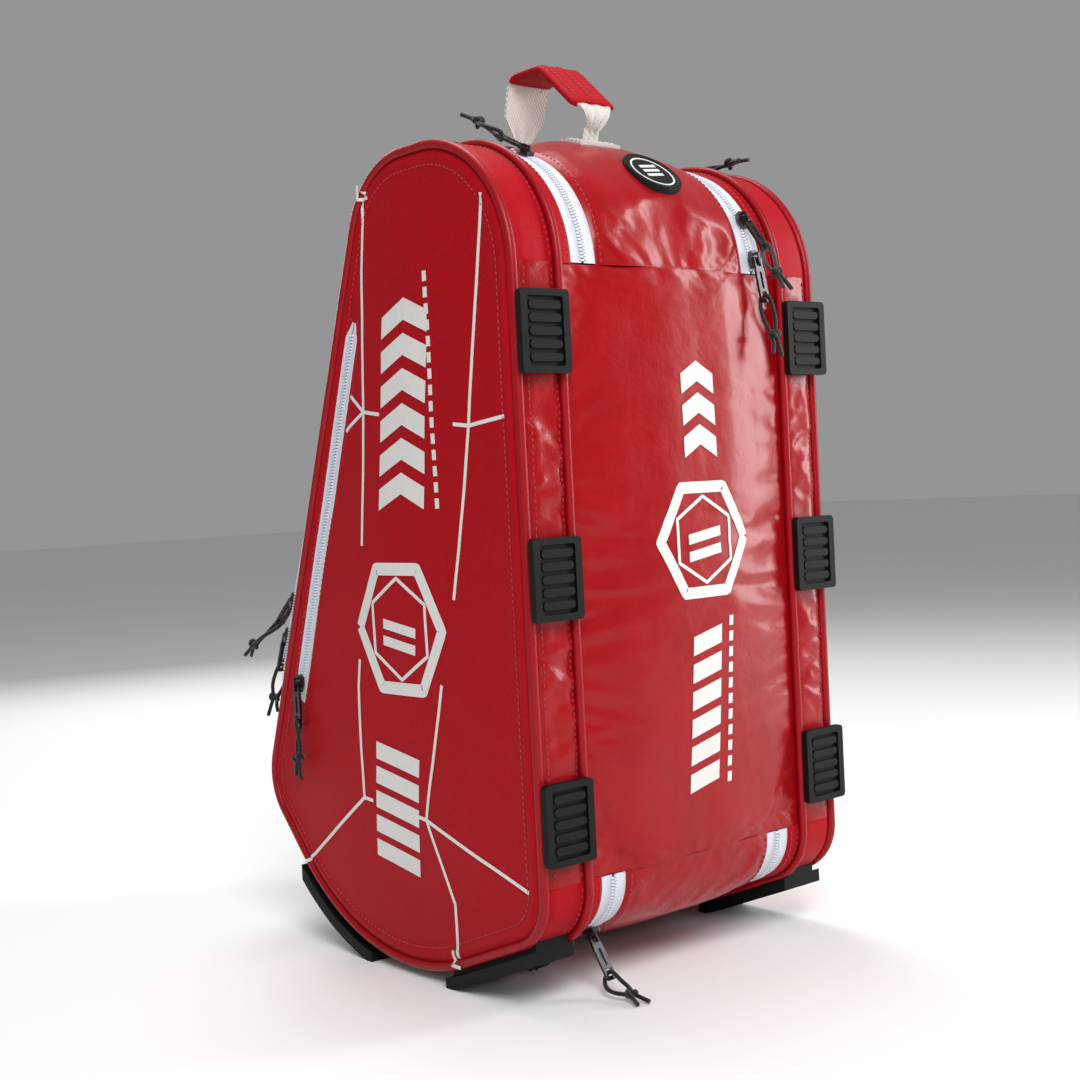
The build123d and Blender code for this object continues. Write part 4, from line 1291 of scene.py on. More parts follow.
SIDE_LINES = [
    [(161, 560), (168, 506), (175, 405), (183.5, 309)], [(194, 226), (197, 207), (197, 124), (288, 62)],
    [(175, 405), (188, 415), (211, 434)], [(175, 405), (194, 396), (237, 368)], [(175, 405), (154, 402)],
    [(197, 124), (186, 123)], [(28, 537), (52, 388), (78, 272)], [(96, 213), (121, 117), (96, 61), (97, 23)],
    [(68, 390), (52, 388), (16, 392)], [(131, 118), (121, 117), (16, 82)],
]
SIDE_AXIS = ((161, 75), (113, 505))


def leaning(points):
    """Patches drawn about an upright line, moved over to the side print's leaning axis."""
    (low_u, low_v), (high_u, high_v) = SIDE_AXIS
    lean = (high_u - low_u) / (high_v - low_v)
    return [(u + low_u + (v - low_v) * lean, v) for u, v in points]


def make_side_prints(sizes):
    """White printed lines, bars, hexagons and chevrons on each side panel."""
    for side, sign in SIDES:
        tree = skin_of(side_cloths[side])
        mesh = Mesh()
        way = (float(sign), 0.0, 0.0)

        def spot(u, v):
            y, z = placed((u, v))
            return (sign * (side_x + 3), y, z)

        grids = [strip_grid(line, 2.6) for line in SIDE_LINES]
        grids += [strip_grid([end + np.array((-5, -5)), end + np.array((5, -5)), end + np.array((5, 5))], 2.6)
                  for end in (np.array(SIDE_LINES[0][0], float), np.array(SIDE_LINES[7][-1], float))]
        centre = leaning([(0, 250)])[0]
        grids += [strip_grid(hexagon(centre, 49), 9.0), strip_grid(hexagon(centre, 36, 30), 2.6)]
        for patch in slanted_bars(232, 262, -19, 19, 12, 7, 6):
            grids.append(patch_grid(leaning(patch)))
        for patch in slanted_bars(74, 172, -26, 26, 18, 12.5, 9):
            grids.append(patch_grid(leaning(patch)))
        for patch in chevrons(334, 500, -27, 27, 24, 15, 11):
            grids.append(patch_grid(leaning(patch)))
        for v in np.arange(334, 498, 11):
            grids.append(patch_grid([(88.5, v), (92.5, v), (92.5, v + 7), (88.5, v + 7)]))
        low, high = pocket_end, pocket_top
        for grid in grids:
            # nothing is printed over the pocket zipper
            flat = np.array([placed(p) for p in grid.reshape(-1, 2)])
            if pocket_gap(flat).min() < 9.5:
                grid = clear_of_pocket(grid)
            if grid is not None:
                lay_film(mesh, tree, grid, spot, way, sizes.ink)
        piece = mesh.build(f"{side}_side_print", finishes["ink"])
        door_blend(piece)


def clear_of_pocket(grid):
    """The longest run of a grid's rows that keeps off the pocket zipper."""
    gaps = pocket_gap(np.array([placed(p) for p in grid.reshape(-1, 2)])).reshape(grid.shape[:2]).min(axis=1)
    keep = gaps > 9.5
    best, start = (0, 0), None
    for i, good in enumerate(list(keep) + [False]):
        if good and start is None:
            start = i
        if not good and start is not None:
            if i - start > best[1] - best[0]:
                best = (start, i)
            start = None
    return grid[best[0]:best[1]] if best[1] - best[0] >= 2 else None


def make_front_prints(sizes):
    """White bars, a hexagon and chevrons down the glossy front."""
    tree = skin_of(*(bpy.data.objects[f"front_panel_{side}_half"] for side, sign in SIDES))
    mesh = Mesh()

    def spot(u, v):
        return (u, front_line - 6, v + lift)

    grids = [patch_grid(p) for p in chevrons(360, 446, -7, 25, 22, 14, 9)]
    grids += [strip_grid(hexagon((8, 303), 42), 8.0), strip_grid(hexagon((8, 303), 30, 30), 2.4)]
    grids += [patch_grid(p) for p in slanted_bars(288, 318, -8, 24, 12, 7, 5)]
    for patch in slanted_bars(128, 246, -14, 14, 19, 13, 7):
        grids.append(patch_grid([(u + 8 - (246 - v) * 0.075, v) for u, v in patch]))
    for v in np.arange(131, 252, 11):
        grids.append(patch_grid([(24 + (v - 131) * 0.066 - 2, v), (26 + (v - 131) * 0.066, v),
                                 (26.7 + (v - 131) * 0.066, v + 7), (24.7 + (v - 131) * 0.066 - 2, v + 7)]))
    for grid in grids:
        lay_film(mesh, tree, grid, spot, (0.0, -1.0, 0.0), sizes.ink)
    piece = mesh.build("front_print", finishes["ink"])
    finish_piece(piece, "core", "white_webbing")


# ---------------------------------------------------------------- zippers

def tape_rows(mesh, s, low, high, rise, closed_rise=None):
    """A flat tape of even thickness on the girth, between two x."""
    sign = 1 if low + high > 0 else -1
    near, far = sorted((abs(low), abs(high)))
    x = sign * np.linspace(near, far, 6)
    x = x if sign > 0 else x[::-1]
    grid = wrap_grid(s, x, np.full((len(s), len(x)), rise))
    add_slab(mesh, grid, 0.9, coords_of(s, x))


def chain(mesh, s_from, s_to, x, rise, along_x, finish=0, pitch=2.4):
    """One half of a zipper's coil on the girth."""
    s = np.arange(s_from, s_to, pitch)
    points, ups = wrap_line(s, x, np.full(len(s), rise))
    across = np.tile((float(along_x), 0.0, 0.0), (len(s), 1))
    beads(mesh, points, across, ups, (3.3, 1.5, 1.7), finish)


def make_girth_zips():
    """The two long zippers between the middle of the bag and its wings."""
    s = spread(s_low + 1, girth.length - 1, 3.0)
    core = Mesh()
    for side, sign in SIDES:
        tape_rows(core, s, sign * (zip_x - tape), sign * (zip_x - 1.2), -3.3)
        chain(core, s_low + 2, girth.length - 2, sign * (zip_x - 1.5), -2.7, sign, 1)
        wing = Mesh()
        tape_rows(wing, s, sign * (zip_x + 1.2), sign * (zip_x + tape), -3.3)
        chain(wing, s_low + 3.2, girth.length - 2, sign * (zip_x + 1.5), -2.7, sign, 1)
        side_s = spread(s_zip_base, s_zip_top, 3.0)
        tape_rows(wing, side_s, sign * (gusset_x - tape), sign * (side_chain - 1.2), -3.3)
        chain(wing, s_zip_base + 1, s_zip_top - 1, sign * (side_chain - 1.5), -2.7, sign, 1)
        piece = wing.build(f"{side}_wing_zipper", finishes["tape"], finishes["coil"])
        finish_piece(piece, f"{side}_wing", "zipper_white", f"{side}_zip_tapes")
        make_door_zip(side, sign, side_s)
    piece = core.build("core_zipper_halves", finishes["tape"], finishes["coil"])
    finish_piece(piece, "core", "zipper_white", "centre_zip_tapes")


def make_door_zip(side, sign, s):
    """The door's half of its zipper: a tape from under the piping to the coil."""
    line, out = girth.at(s), girth.out(s)
    inner = line - out * 3.3
    walk = np.arange(0, door_edge.length, 1.0)
    edge, edge_out = door_edge.at(walk), door_edge.out(walk)
    picks = [np.linalg.norm(edge - p, axis=1).argmin() for p in line]
    outer = edge[picks] - edge_out[picks] * 3.3
    share = np.linspace(0, 1, 6)[None, :, None]
    flat = inner[:, None] * (1 - share) + outer[:, None] * share
    x = np.linspace(side_chain + 1.2, gusset_x + 0.6, 6) * sign
    grid = np.concatenate([np.broadcast_to(x[None, :, None], flat.shape[:2] + (1,)), flat], axis=2)
    coords = coords_of(s, x)
    if sign < 0:
        grid, coords = grid[:, ::-1], coords[:, ::-1]
    mesh = Mesh()
    add_slab(mesh, grid, 0.9, coords)
    chain(mesh, s_zip_base + 2.2, s_zip_top - 1, sign * (side_chain + 1.5), -2.7, sign, 1)
    piece = mesh.build(f"{side}_door_zipper", finishes["tape"], finishes["coil"])
    finish_piece(piece, f"{side}_door", "zipper_white", f"{side}_door_tape")


def make_pocket_zips():
    """The slanting pocket zipper on each door, sewn into its own slot."""
    for side, sign in SIDES:
        tree = skin_of(side_cloths[side])
        low, high = placed(pocket_end), placed(pocket_top)
        run = unit(high - low)
        over = np.array((-run[1], run[0]))
        long = np.linalg.norm(high - low)
        mesh = Mesh()
        t = spread(0, long, 3.0)
        way = np.array((float(sign), 0, 0))
        for half in (-1, 1):
            # the tape narrows to a point at the pocket's upper end
            wide = np.minimum(7.0, (long - t) * 0.45 + 1.6)
            inner = low + run * t[:, None] + over * half * 1.0
            outer = low + run * t[:, None] + over * half * wide[:, None]
            share = np.linspace(0, 1, 4)[None, :, None]
            flat = inner[:, None] * (1 - share) + outer[:, None] * share
            grid = np.concatenate([np.full(flat.shape[:2] + (1,), sign * (side_x + 3.0)), flat], axis=2)
            points = grid.reshape(-1, 3)
            grid = snapped(tree, points, np.tile(way, (len(points), 1))).reshape(grid.shape)
            if np.sum(grid_normals(grid) @ way) < 0:
                grid, flat = grid[:, ::-1], flat[:, ::-1]
            add_slab(mesh, grid + way * 0.9, 0.8, flat)
            at = np.arange(3.0 + (0.6 if half > 0 else 1.8), long - 8, 2.4)
            centres = np.column_stack([np.full(len(at), sign * (side_x + 3.0)),
                                       low + run * at[:, None] + over * half * 1.4])
            ups = np.tile(way, (len(at), 1))
            centres = snapped(tree, centres, ups) + ups * 1.5
            beads(mesh, centres, np.tile((0.0, *over), (len(at), 1)), ups, (3.2, 1.5, 1.6), 1)
        piece = mesh.build(f"{side}_pocket_zipper", finishes["tape"], finishes["coil"])
        finish_piece(piece, f"{side}_door", "zipper_white", f"{side}_pocket_zip")


def make_stitching(sizes):
    """Rows of stitches beside the seams, laid on the finished cloth."""
    def row(mesh, objects, s, x, finish=0, start_rise=4.0):
        points, ups = wrap_line(s, x, np.full(len(s), start_rise))
        for thing in objects:
            points = snapped(thing, points, ups, 16.0)
        stitch_row(mesh, points, ups, sizes, finish=finish)

    for side, sign in SIDES:
        wing = Mesh()
        inner = skin_of(bpy.data.objects[f"{side}_gusset_inner_cloth"])
        outer = skin_of(bpy.data.objects[f"{side}_gusset_outer_cloth"])
        front = skin_of(bpy.data.objects[f"{side}_gusset_front_cloth"])
        s = spread(s_low + 3, girth.length - 3, 4.0)
        row(wing, [inner], s, sign * (zip_x + tape + 1.6))
        row(wing, [inner], s, sign * (seam_x - 5.2))
        row(wing, [outer], s, sign * (seam_x + 5.2))
        side_s = spread(s_zip_base + 12, s_zip_top - 12, 4.0)
        row(wing, [outer], side_s, sign * (gusset_x - tape - 1.6))
        row(wing, [front], spread(3, s_low - 3, 4.0), sign * (seam_x + 5.0))
        row(wing, [front], spread(3, s_low - 3, 4.0), sign * (gusset_x - 3.4))
        piece = wing.build(f"{side}_wing_stitching", finishes["thread"])
        finish_piece(piece, f"{side}_wing", "matte_red")

        door = Mesh()
        tree = skin_of(side_cloths[side])
        inset = spread(0, door_edge.length, 4.0)
        flat = door_edge.at(inset) - door_edge.out(inset) * 17.0
        points = np.column_stack([np.full(len(flat), sign * (side_x + 4.0)), flat])
        ups = np.tile((float(sign), 0.0, 0.0), (len(flat), 1))
        stitch_row(door, snapped(tree, points, ups), ups, sizes)
        low, high = placed(pocket_end), placed(pocket_top)
        run = unit(high - low)
        over = np.array((-run[1], run[0]))
        for gap in (-9.2, 9.2):
            flat = np.array([low - run * 6 + over * gap, high + run * 2 + over * gap * 0.5])
            t = spread(0, 1, 0.02)[:, None]
            flat = flat[0] * (1 - t) + flat[1] * t
            points = np.column_stack([np.full(len(flat), sign * (side_x + 4.0)), flat])
            ups = np.tile((float(sign), 0.0, 0.0), (len(flat), 1))
            stitch_row(door, snapped(tree, points, ups), ups, sizes)
        piece = door.build(f"{side}_side_stitching", finishes["thread"])
        door_blend(piece)

    core = Mesh()
    for name, s_from, s_to in (
        ("top_panel_cloth", s_back_top, girth.length), ("base_panel_cloth", s_low, s_base_end),
        ("back_panel_mesh", s_base_end, s_back_top),
    ):
        tree = skin_of(bpy.data.objects[name])
        s = spread(s_from + 3, s_to - 3, 4.0)
        for x in (-(zip_x - tape - 2.6), zip_x - tape - 2.6):
            row(core, [tree], s, x)
    piece = core.build("core_stitching", finishes["thread"])
    finish_piece(piece, "core", "matte_red")


# ---------------------------------------------------------------- handle, straps and badge

def filleted(points, radii, step=3.0):
    """A flat path with rounded corners, as evenly spaced points."""
    points = [np.array(p, float) for p in points]
    line = [points[0]]
    for i in range(1, len(points) - 1):
        corner = points[i]
        towards, away = unit(points[i - 1] - corner), unit(points[i + 1] - corner)
        half = math.acos(np.clip(float(towards @ away), -1, 1)) / 2
        radius = radii[i - 1]
        centre = corner + unit(towards + away) * radius / math.sin(half)
        first = corner + towards * radius / math.tan(half) - centre
        last = corner + away * radius / math.tan(half) - centre
        start = math.atan2(first[1], first[0])
        turn = (math.atan2(last[1], last[0]) - start + math.pi) % (2 * math.pi) - math.pi
        line += [centre + radius * np.array((math.cos(a), math.sin(a))) for a in start + turn * np.linspace(0, 1, 24)]
    line = np.array(line + [points[-1]])
    travel = np.concatenate([[0], np.cumsum(np.linalg.norm(np.diff(line, axis=0), axis=1))])
    at = spread(0, travel[-1], step)
    return np.stack([np.interp(at, travel, line[:, k]) for k in (0, 1)], axis=1)


def band(mesh, path, x, wide, thick, finish=0, fold=None, sections=9):
    """A strip of even thickness about a (y, z) path; its width may change along it, and fold bends it."""
    path = np.asarray(path, float)
    run = np.gradient(path, axis=0)
    run /= np.linalg.norm(run, axis=1, keepdims=True)
    out = np.stack([-run[:, 1], run[:, 0]], axis=1)
    half = np.broadcast_to(np.asarray(wide, float), (len(path),))[:, None] / 2
    share = np.linspace(-1, 1, sections)[None, :]
    rise = thick / 2 + (np.zeros((len(path), sections)) if fold is None else fold)
    grid = np.concatenate([(x + half * share)[..., None], path[:, None] + out[:, None] * rise[..., None]], axis=2)
    travel = np.concatenate([[0], np.cumsum(np.linalg.norm(np.diff(path, axis=0), axis=1))])
    coords = np.stack(np.broadcast_arrays(half * share, travel[:, None]), axis=2)
    if np.sum(grid_normals(grid)[:, :, 1:] * out[:, None]) < 0:
        grid, coords = grid[:, ::-1], coords[:, ::-1]
    add_slab(mesh, grid, thick, coords)
    return out


def surface_rise(tree, x, y):
    """Height at which a plumb line meets a surface from above, in millimetres."""
    hit = tree.ray_cast(Vector((x * MM, y * MM, 0.75)), Vector((0, 0, -1)), 0.5)[0]
    return -1000.0 if hit is None else hit[2] / MM


def spaced(points):
    return [tuple(placed_y(p)) for p in points]


def placed_y(point):
    """A (depth, frame height) point in the frame's (y, z)."""
    return (point[0] + front_line, point[1])


handle_tape, handle_width, wrap_thick = 2.4, 38.0, 7.4
front_anchor, back_anchor = (68.0, 92.0), (147.0, 173.0)
front_leg, back_leg, leg_lift = 79.0, 160.0, 8.2


def superellipse(half_width, half_thick, power=3.0, sides=36):
    turn = np.linspace(0, 2 * math.pi, sides, endpoint=False)
    c, s = np.cos(turn), np.sin(turn)
    return np.stack([
        half_width * np.sign(c) * np.abs(c) ** (2 / power), half_thick * np.sign(s) * np.abs(s) ** (2 / power),
    ], axis=1)


def box_stitch(mesh, tree, low, high, sizes):
    """A square of stitches with a cross in it, sewn down through webbing on the crown."""
    corners = [(-1, low), (1, low), (1, high), (-1, high), (-1, low), (1, high)]
    corners = [(side * (handle_width / 2 - 4), y) for side, y in corners] + [(1, high)]
    paths = [corners[:5], [corners[0], corners[2]], [corners[1], corners[3]]]
    for path in paths:
        for a, b in zip(path, path[1:]):
            a, b = np.array(a, float), np.array(b, float)
            count = max(3, int(np.linalg.norm(b - a) / 2))
            flat = a + (b - a) * np.linspace(0, 1, count)[:, None]
            points = np.column_stack([flat[:, 0], flat[:, 1] + front_line, np.full(count, height + 60.0)])
            ups = np.tile((0.0, 0.0, 1.0), (count, 1))
            stitch_row(mesh, snapped(tree, points, ups, 80.0), ups, sizes, pitch=4.2)


def make_handle(sizes):
    """Webbing legs gathered at their feet, a padded wrap over the grip, and two sewn anchors."""
    crown = skin_of(bpy.data.objects["top_panel_cloth"])
    anchors, trees = Mesh(), []
    for low, high in (front_anchor, back_anchor):
        y = spread(low + front_line, high + front_line, 2.0)
        x = spread(-handle_width / 2, handle_width / 2, 2.4)
        z = np.array([[surface_rise(crown, u, v) for u in x] for v in y])
        grid = np.stack([np.broadcast_to(x, z.shape), np.broadcast_to(y[:, None], z.shape), z + 2.2], axis=2)
        if np.sum(grid_normals(grid)[..., 2]) < 0:
            grid = grid[:, ::-1]
        add_slab(anchors, grid, 2.3, grid[..., :2])
    piece = anchors.build("handle_anchors", finishes["webbing"])
    finish_piece(piece, "core", "white_webbing", "sewn_webbing")
    tree = skin_of(piece)
    stitches = Mesh()
    for low, high in (front_anchor, back_anchor):
        box_stitch(stitches, tree, low + 3, high - 3, sizes)
    finish_piece(stitches.build("handle_anchor_stitching", finishes["white_thread"]), "core", "white_webbing")

    feet = [surface_rise(tree, 0, leg + front_line) for leg in (front_leg, back_leg)]
    points = [(front_leg, feet[0] + leg_lift), (66.0, height + 27.0), (110.0, height + 68.0),
              (146.0, height + 68.0), (back_leg, feet[1] + leg_lift)]
    path = filleted(spaced(points), (9.0, 14.0, 12.0), 2.0)
    ends = [np.array(placed_y((front_leg + 2, feet[0] + 0.6))), np.array(placed_y((back_leg - 1, feet[1] + 0.6)))]
    path = np.vstack([ends[0], (ends[0] + path[0]) / 2, path, (ends[1] + path[-1]) / 2, ends[1]])
    low_z = max(feet) + leg_lift + 1
    wide = 12 + (handle_width - 12) * np.clip((path[:, 1] - low_z) / 21, 0, 1)
    share = np.linspace(-1, 1, 13)[None, :]
    fold = np.sin(share * 2.5 * math.pi) * 2.2 * (1 - wide[:, None] / handle_width)
    mesh = Mesh()
    out = band(mesh, path, 0.0, wide, handle_tape, fold=fold, sections=13)
    piece = mesh.build("handle_webbing_strip", finishes["webbing"])
    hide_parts("handle_webbing")
    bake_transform(piece)

    depth_at = path[:, 0] - front_line
    keep = np.flatnonzero((depth_at > 66) & (depth_at < 145) & (path[:, 1] > height + 34))
    line = path[keep[0]:keep[-1] + 1]
    line3 = np.column_stack([np.zeros(len(line)), line])
    ups = np.column_stack([np.zeros(len(line)), out[keep[0]:keep[-1] + 1]])
    ends_in = edge_roll(np.minimum(np.arange(len(line)), np.arange(len(line))[::-1]) * 2.0, 6.0)
    section = superellipse(handle_width / 2 + 1.5, wrap_thick / 2, 3.4)[None] * (
        1 - np.stack([0.02 * (1 - ends_in), 0.28 * (1 - ends_in)], axis=1)[:, None, :])
    mesh = Mesh()
    sweep(mesh, line3, section, up=ups)
    piece = mesh.build("handle_grip", finishes["red_cloth"])
    finish_piece(piece, "handle", "red_wrap", "handle_wrap")
    mesh = Mesh()
    grip = skin_of(piece)
    for x in (-14.5, 0.0, 14.5):
        points = snapped(grip, line3[3:-3] + ups[3:-3] * 5 + np.array((x, 0, 0)), ups[3:-3])
        stitch_row(mesh, points, ups[3:-3], sizes, pitch=4.0)
    finish_piece(mesh.build("handle_stitching", finishes["thread"]), "handle", "red_wrap")


def slant(z):
    """Depth of the girth's straight upper back at a height in the frame."""
    share = (z - lift - hip_corner[1]) / (crown_corner[1] - hip_corner[1])
    return hip_corner[0] + share * (crown_corner[0] - hip_corner[0])


def make_straps(sizes):
    """Two padded shoulder straps with bound edges, their tapes and hanging tails."""
    pads = spaced([(slant(528.0) + 12, 528.0), (slant(440.0) + 24, 440.0), (slant(320.0) + 28, 320.0),
                   (slant(228.0) + 22, 228.0)])
    adjuster = slant(214.0) + 22
    tops = spaced([(112.0, height + 2.4), (140.0, height + 13), (166.0, height + 21), (186.0, height + 8),
                   (204.0, height - 50)])
    lows = spaced([(adjuster + 2, 189.5), (depth + 6, 150.0), (depth + 7, 105.0), (depth - 8, 74.0),
                   (depth - 34, 46.0)])
    tails = spaced([(adjuster + 6, 189.5), (depth + 12, 150.0), (depth + 14.5, 70.0), (depth + 6, 7.0)])
    crown = skin_of(bpy.data.objects["top_panel_cloth"])
    straps, bindings, tapes = Mesh(), Mesh(), Mesh()
    for side, sign in SIDES:
        x = sign * 50.0
        path = filleted(pads, (200, 260), 4.0)
        line = np.column_stack([np.full(len(path), x), path])
        run = np.gradient(path, axis=0)
        run /= np.linalg.norm(run, axis=1, keepdims=True)
        out = np.column_stack([np.zeros(len(path)), -run[:, 1], run[:, 0]])
        ends = edge_roll(np.minimum(np.arange(len(path)), np.arange(len(path))[::-1]) * 4.0, 22.0)
        size = np.stack([0.62 + 0.38 * ends, 0.45 + 0.55 * ends], axis=1)[:, None, :]
        sweep(straps, line, superellipse(26.0, 5.2, 2.6)[None] * size, up=out)
        for edge in (-1, 1):
            rim = line + np.column_stack([edge * 26.0 * size[:, 0, 0], np.zeros((len(path), 2))])
            sweep(bindings, rim, ring(2.3, 10), up=out)
        path = filleted(tops, (20, 16, 22), 3.0)
        floor_z = np.array([surface_rise(crown, x, y) for y, z in path])
        path[:, 1] = np.maximum(path[:, 1], floor_z + 1.4)
        band(tapes, path, x, 25.0, 2.0)
        band(tapes, filleted(lows, (30, 24, 24), 3.0), x, 25.0, 2.0)
        tail = Mesh()
        path = filleted(tails, (40, 60), 3.0)
        share = np.linspace(-1, 1, 9)[None, :]
        fold = 0.8 * share ** 2 * np.linspace(0, 1, len(path))[:, None]
        band(tail, path, x, 25.0, 2.0, fold=fold)
        piece = tail.build(f"{side}_strap_tail", finishes["strap_tape"])
        finish_piece(piece, "core", "black_mesh")
    piece = straps.build("shoulder_strap_pads", finishes["mesh"])
    finish_piece(piece, "core", "black_mesh", "shoulder_straps")
    finish_piece(bindings.build("shoulder_strap_binding", finishes["piping"]), "core", "red_piping")
    finish_piece(tapes.build("strap_tapes", finishes["strap_tape"]), "core", "black_mesh")


def lathe(mesh, centre, axis, profile, finish=0, sides=72):
    """A profile of (radius, height) points turned about an axis."""
    axis = np.asarray(axis, float)
    side_way = np.array((1.0, 0.0, 0.0))
    other = np.cross(axis, side_way)
    turn = np.linspace(0, 2 * math.pi, sides, endpoint=False)
    spokes = np.cos(turn)[:, None] * side_way + np.sin(turn)[:, None] * other
    grid = np.array([centre + spokes * max(radius, 0.01) + axis * rise for radius, rise in profile])
    flat = np.array([[(r * math.cos(t), r * math.sin(t)) for t in turn] for r, h in profile])
    mesh.add(grid.reshape(-1, 3), quads(len(profile), sides, True), flat.reshape(-1, 2), finish)


def make_badge():
    """The round rubber badge on the crown, with a plain moulded sign filled with white ink."""
    angle = math.radians(48.0)
    out = np.array((0.0, -math.cos(angle), math.sin(angle)))
    up = np.array((0.0, math.sin(angle), math.cos(angle)))
    crown = np.array((10.0, *placed((95.0, 488.0)))) + out * 92.2
    cloth = skin_of(bpy.data.objects["top_panel_cloth"])
    spots = [crown + np.array((x, 0, 0)) + up * v for x in (-18, 0, 18) for v in (-18, 0, 18)]
    found = snapped(cloth, spots, np.tile(out, (9, 1)), 30.0)
    centre = crown + out * max(0.0, float(np.median((found - crown) @ out)) + 0.4)
    mesh = Mesh()
    profile = [(0, 2.0), (19.6, 2.0), (20.2, 2.7), (21.4, 3.0), (22.5, 2.7), (23.0, 1.9), (23.0, -3.0), (0, -3.0)]
    lathe(mesh, centre, out, profile)
    badge = mesh.build("crown_badge", finishes["rubber"])
    finish_piece(badge, "core", "badge_rubber", "top_badge")
    ink = Mesh()
    lathe(ink, centre, out, [(16.2, 1.8), (16.2, 2.25), (17.6, 2.25), (17.6, 1.8), (16.2, 1.8)])

    def flat_patch(corners):
        points = np.array([centre + np.array((u, 0, 0)) + up * v + out * 2.25 for u, v in corners])
        low = points - out * 0.6
        n = len(points)
        faces = [list(range(n)), list(range(n, 2 * n))[::-1]]
        faces += [[i, n + i, n + (i + 1) % n, (i + 1) % n] for i in range(n)]
        ink.add(np.vstack([points, low]), faces)

    for v in (-7.0, -1.5, 4.0):
        flat_patch([(-8.5, v), (8.5, v + 3), (8.5, v + 6), (-8.5, v + 3)][::-1])
    finish_piece(ink.build("badge_sign", finishes["ink"]), "core", "badge_rubber")


def dress_cad():
    """Better materials for the moulded and cast pieces that stay as they are."""
    makes = {"gunmetal": "metal", "black_rubber": "rubber", "badge_rubber": "rubber", "black_plastic": "acetal"}
    for part in frame["record"]["subparts"]:
        if part["material_slot"] in makes:
            for holder in frame["nodes"][part["node"]].material_slots:
                holder.material = finishes[makes[part["material_slot"]]]


# ---------------------------------------------------------------- add-on

class BAG_OT_finishes(bpy.types.Operator):
    """Makes every material and dresses the moulded and cast pieces"""

    bl_idname = "bag.finishes"
    bl_label = "Finishes"

    def execute(self, context):
        make_finishes(context.scene.bag_colours)
        dress_cad()
        return {"FINISHED"}


class BAG_OT_front(bpy.types.Operator):
    """Sews the glossy front between its two seams"""

    bl_idname = "bag.front"
    bl_label = "Glossy front"

    def execute(self, context):
        make_front(context.scene.bag_sizes)
        return {"FINISHED"}


class BAG_OT_core_panels(bpy.types.Operator):
    """Sews the panels over the top, down the back and under the base"""

    bl_idname = "bag.core_panels"
    bl_label = "Top, back and base"

    def execute(self, context):
        make_core_panels(context.scene.bag_sizes)
        return {"FINISHED"}


class BAG_OT_gussets(bpy.types.Operator):
    """Sews the gusset fabric of both wings"""

    bl_idname = "bag.gussets"
    bl_label = "Gussets"

    def execute(self, context):
        make_gussets(context.scene.bag_sizes)
        return {"FINISHED"}


class BAG_OT_seam_pipings(bpy.types.Operator):
    """Draws coated fabric over the cords of the two long seams"""

    bl_idname = "bag.seam_pipings"
    bl_label = "Seam pipings"

    def execute(self, context):
        make_seam_pipings(context.scene.bag_sizes)
        return {"FINISHED"}


class BAG_OT_side_panels(bpy.types.Operator):
    """Sews the two D-shaped side panels and their thick pipings"""

    bl_idname = "bag.side_panels"
    bl_label = "Side panels"

    def execute(self, context):
        make_side_panels(context.scene.bag_sizes)
        return {"FINISHED"}


class BAG_OT_linings(bpy.types.Operator):
    """Quilts the wings' inner walls and the middle divider"""

    bl_idname = "bag.linings"
    bl_label = "Linings"

    def execute(self, context):
        make_linings(context.scene.bag_sizes)
        return {"FINISHED"}


class BAG_OT_zippers(bpy.types.Operator):
    """Lays the tapes and coils of the long zippers and the pockets'"""

    bl_idname = "bag.zippers"
    bl_label = "Zippers"

    def execute(self, context):
        make_girth_zips()
        make_pocket_zips()
        return {"FINISHED"}


class BAG_OT_prints(bpy.types.Operator):
    """Prints plain bars, chevrons and hexagons on the front and sides"""

    bl_idname = "bag.prints"
    bl_label = "Prints"

    def execute(self, context):
        make_side_prints(context.scene.bag_sizes)
        make_front_prints(context.scene.bag_sizes)
        return {"FINISHED"}


class BAG_OT_stitching(bpy.types.Operator):
    """Sews the rows of stitches beside the seams"""

    bl_idname = "bag.stitching"
    bl_label = "Stitching"

    def execute(self, context):
        make_stitching(context.scene.bag_sizes)
        return {"FINISHED"}


class BAG_OT_handle(bpy.types.Operator):
    """Makes the handle's webbing, grip and anchors"""

    bl_idname = "bag.handle"
    bl_label = "Handle"

    def execute(self, context):
        make_handle(context.scene.bag_sizes)
        return {"FINISHED"}


class BAG_OT_straps(bpy.types.Operator):
    """Makes the two padded shoulder straps and their tapes"""

    bl_idname = "bag.straps"
    bl_label = "Shoulder straps"

    def execute(self, context):
        make_straps(context.scene.bag_sizes)
        return {"FINISHED"}


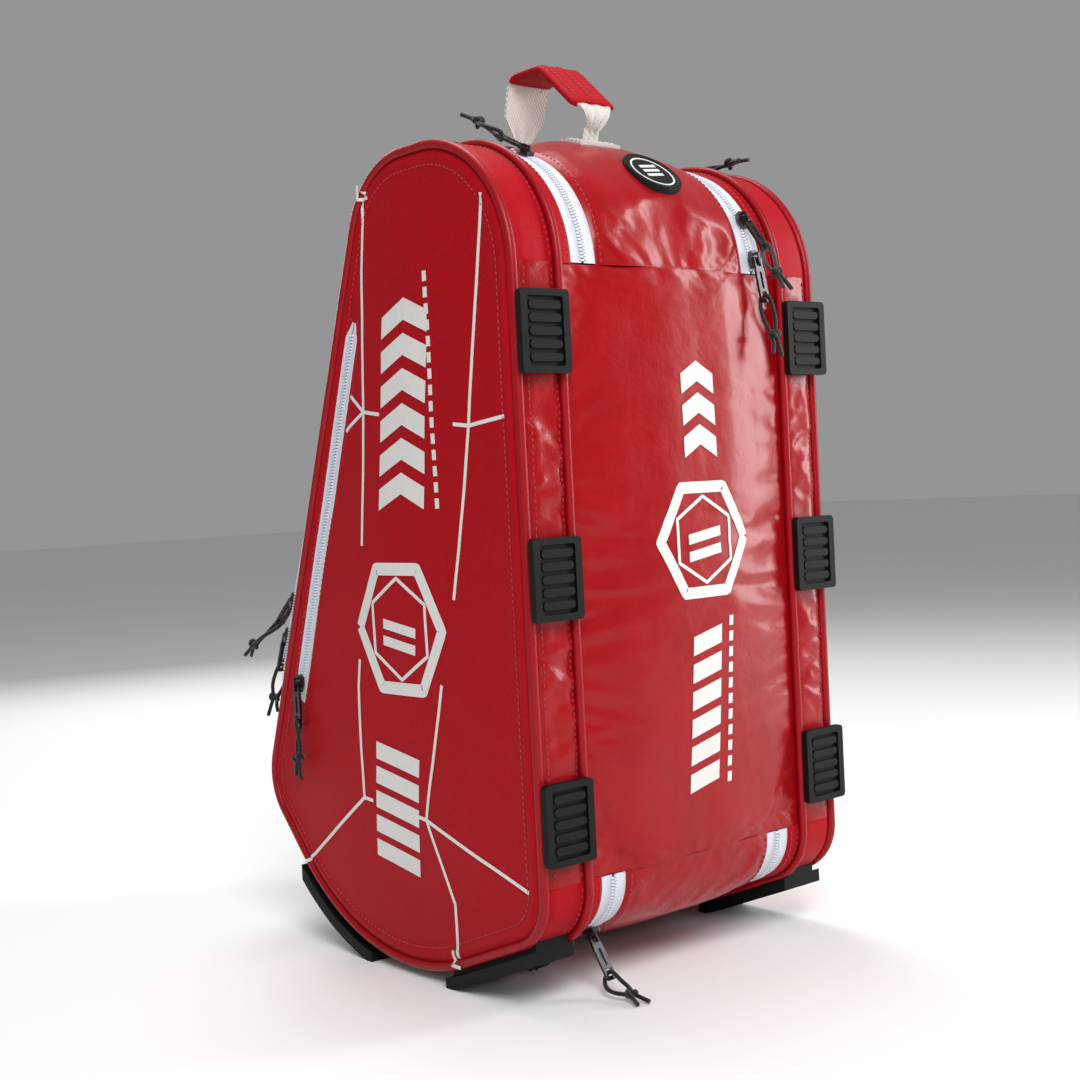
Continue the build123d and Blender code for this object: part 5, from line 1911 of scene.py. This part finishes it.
class BAG_OT_badge(bpy.types.Operator):
    """Moulds the round badge on the crown"""

    bl_idname = "bag.badge"
    bl_label = "Badge"

    def execute(self, context):
        make_badge()
        return {"FINISHED"}


class BAG_OT_cords(bpy.types.Operator):
    """Ties the cord loops of the zipper pulls"""

    bl_idname = "bag.cords"
    bl_label = "Pull cords"

    def execute(self, context):
        make_cords()
        return {"FINISHED"}


class BAG_OT_stage(bpy.types.Operator):
    """Sets up the camera, the lights and the floor"""

    bl_idname = "bag.stage"
    bl_label = "Stage"

    def execute(self, context):
        make_stage()
        return {"FINISHED"}


OPERATORS = (
    BAG_OT_finishes,
    BAG_OT_front,
    BAG_OT_core_panels,
    BAG_OT_gussets,
    BAG_OT_seam_pipings,
    BAG_OT_side_panels,
    BAG_OT_linings,
    BAG_OT_zippers,
    BAG_OT_prints,
    BAG_OT_stitching,
    BAG_OT_handle,
    BAG_OT_straps,
    BAG_OT_badge,
    BAG_OT_cords,
    BAG_OT_stage,
)


class BAG_PT_pieces(bpy.types.Panel):
    """Lists the bag's sizes, its colours and the operators that make its pieces"""

    bl_label = "Racket tournament bag"
    bl_idname = "BAG_PT_pieces"
    bl_space_type = "VIEW_3D"
    bl_region_type = "UI"
    bl_category = "Bag"

    def draw(self, context):
        for values in (context.scene.bag_sizes, context.scene.bag_colours):
            column = self.layout.column(align=True)
            for name in values.__annotations__:
                column.prop(values, name)
        column = self.layout.column(align=True)
        for operator in OPERATORS:
            column.operator(operator.bl_idname)


CLASSES = (BagSizes, BagColours, *OPERATORS, BAG_PT_pieces)


def register():
    for made in CLASSES:
        bpy.utils.register_class(made)
    bpy.types.Scene.bag_sizes = bpy.props.PointerProperty(type=BagSizes)
    bpy.types.Scene.bag_colours = bpy.props.PointerProperty(type=BagColours)


def unregister():
    del bpy.types.Scene.bag_colours
    del bpy.types.Scene.bag_sizes
    for made in reversed(CLASSES):
        bpy.utils.unregister_class(made)


def main():
    register()
    for operator in OPERATORS:
        group, name = operator.bl_idname.split(".")
        getattr(getattr(bpy.ops, group), name)()


if __name__ == "__main__":
    main()
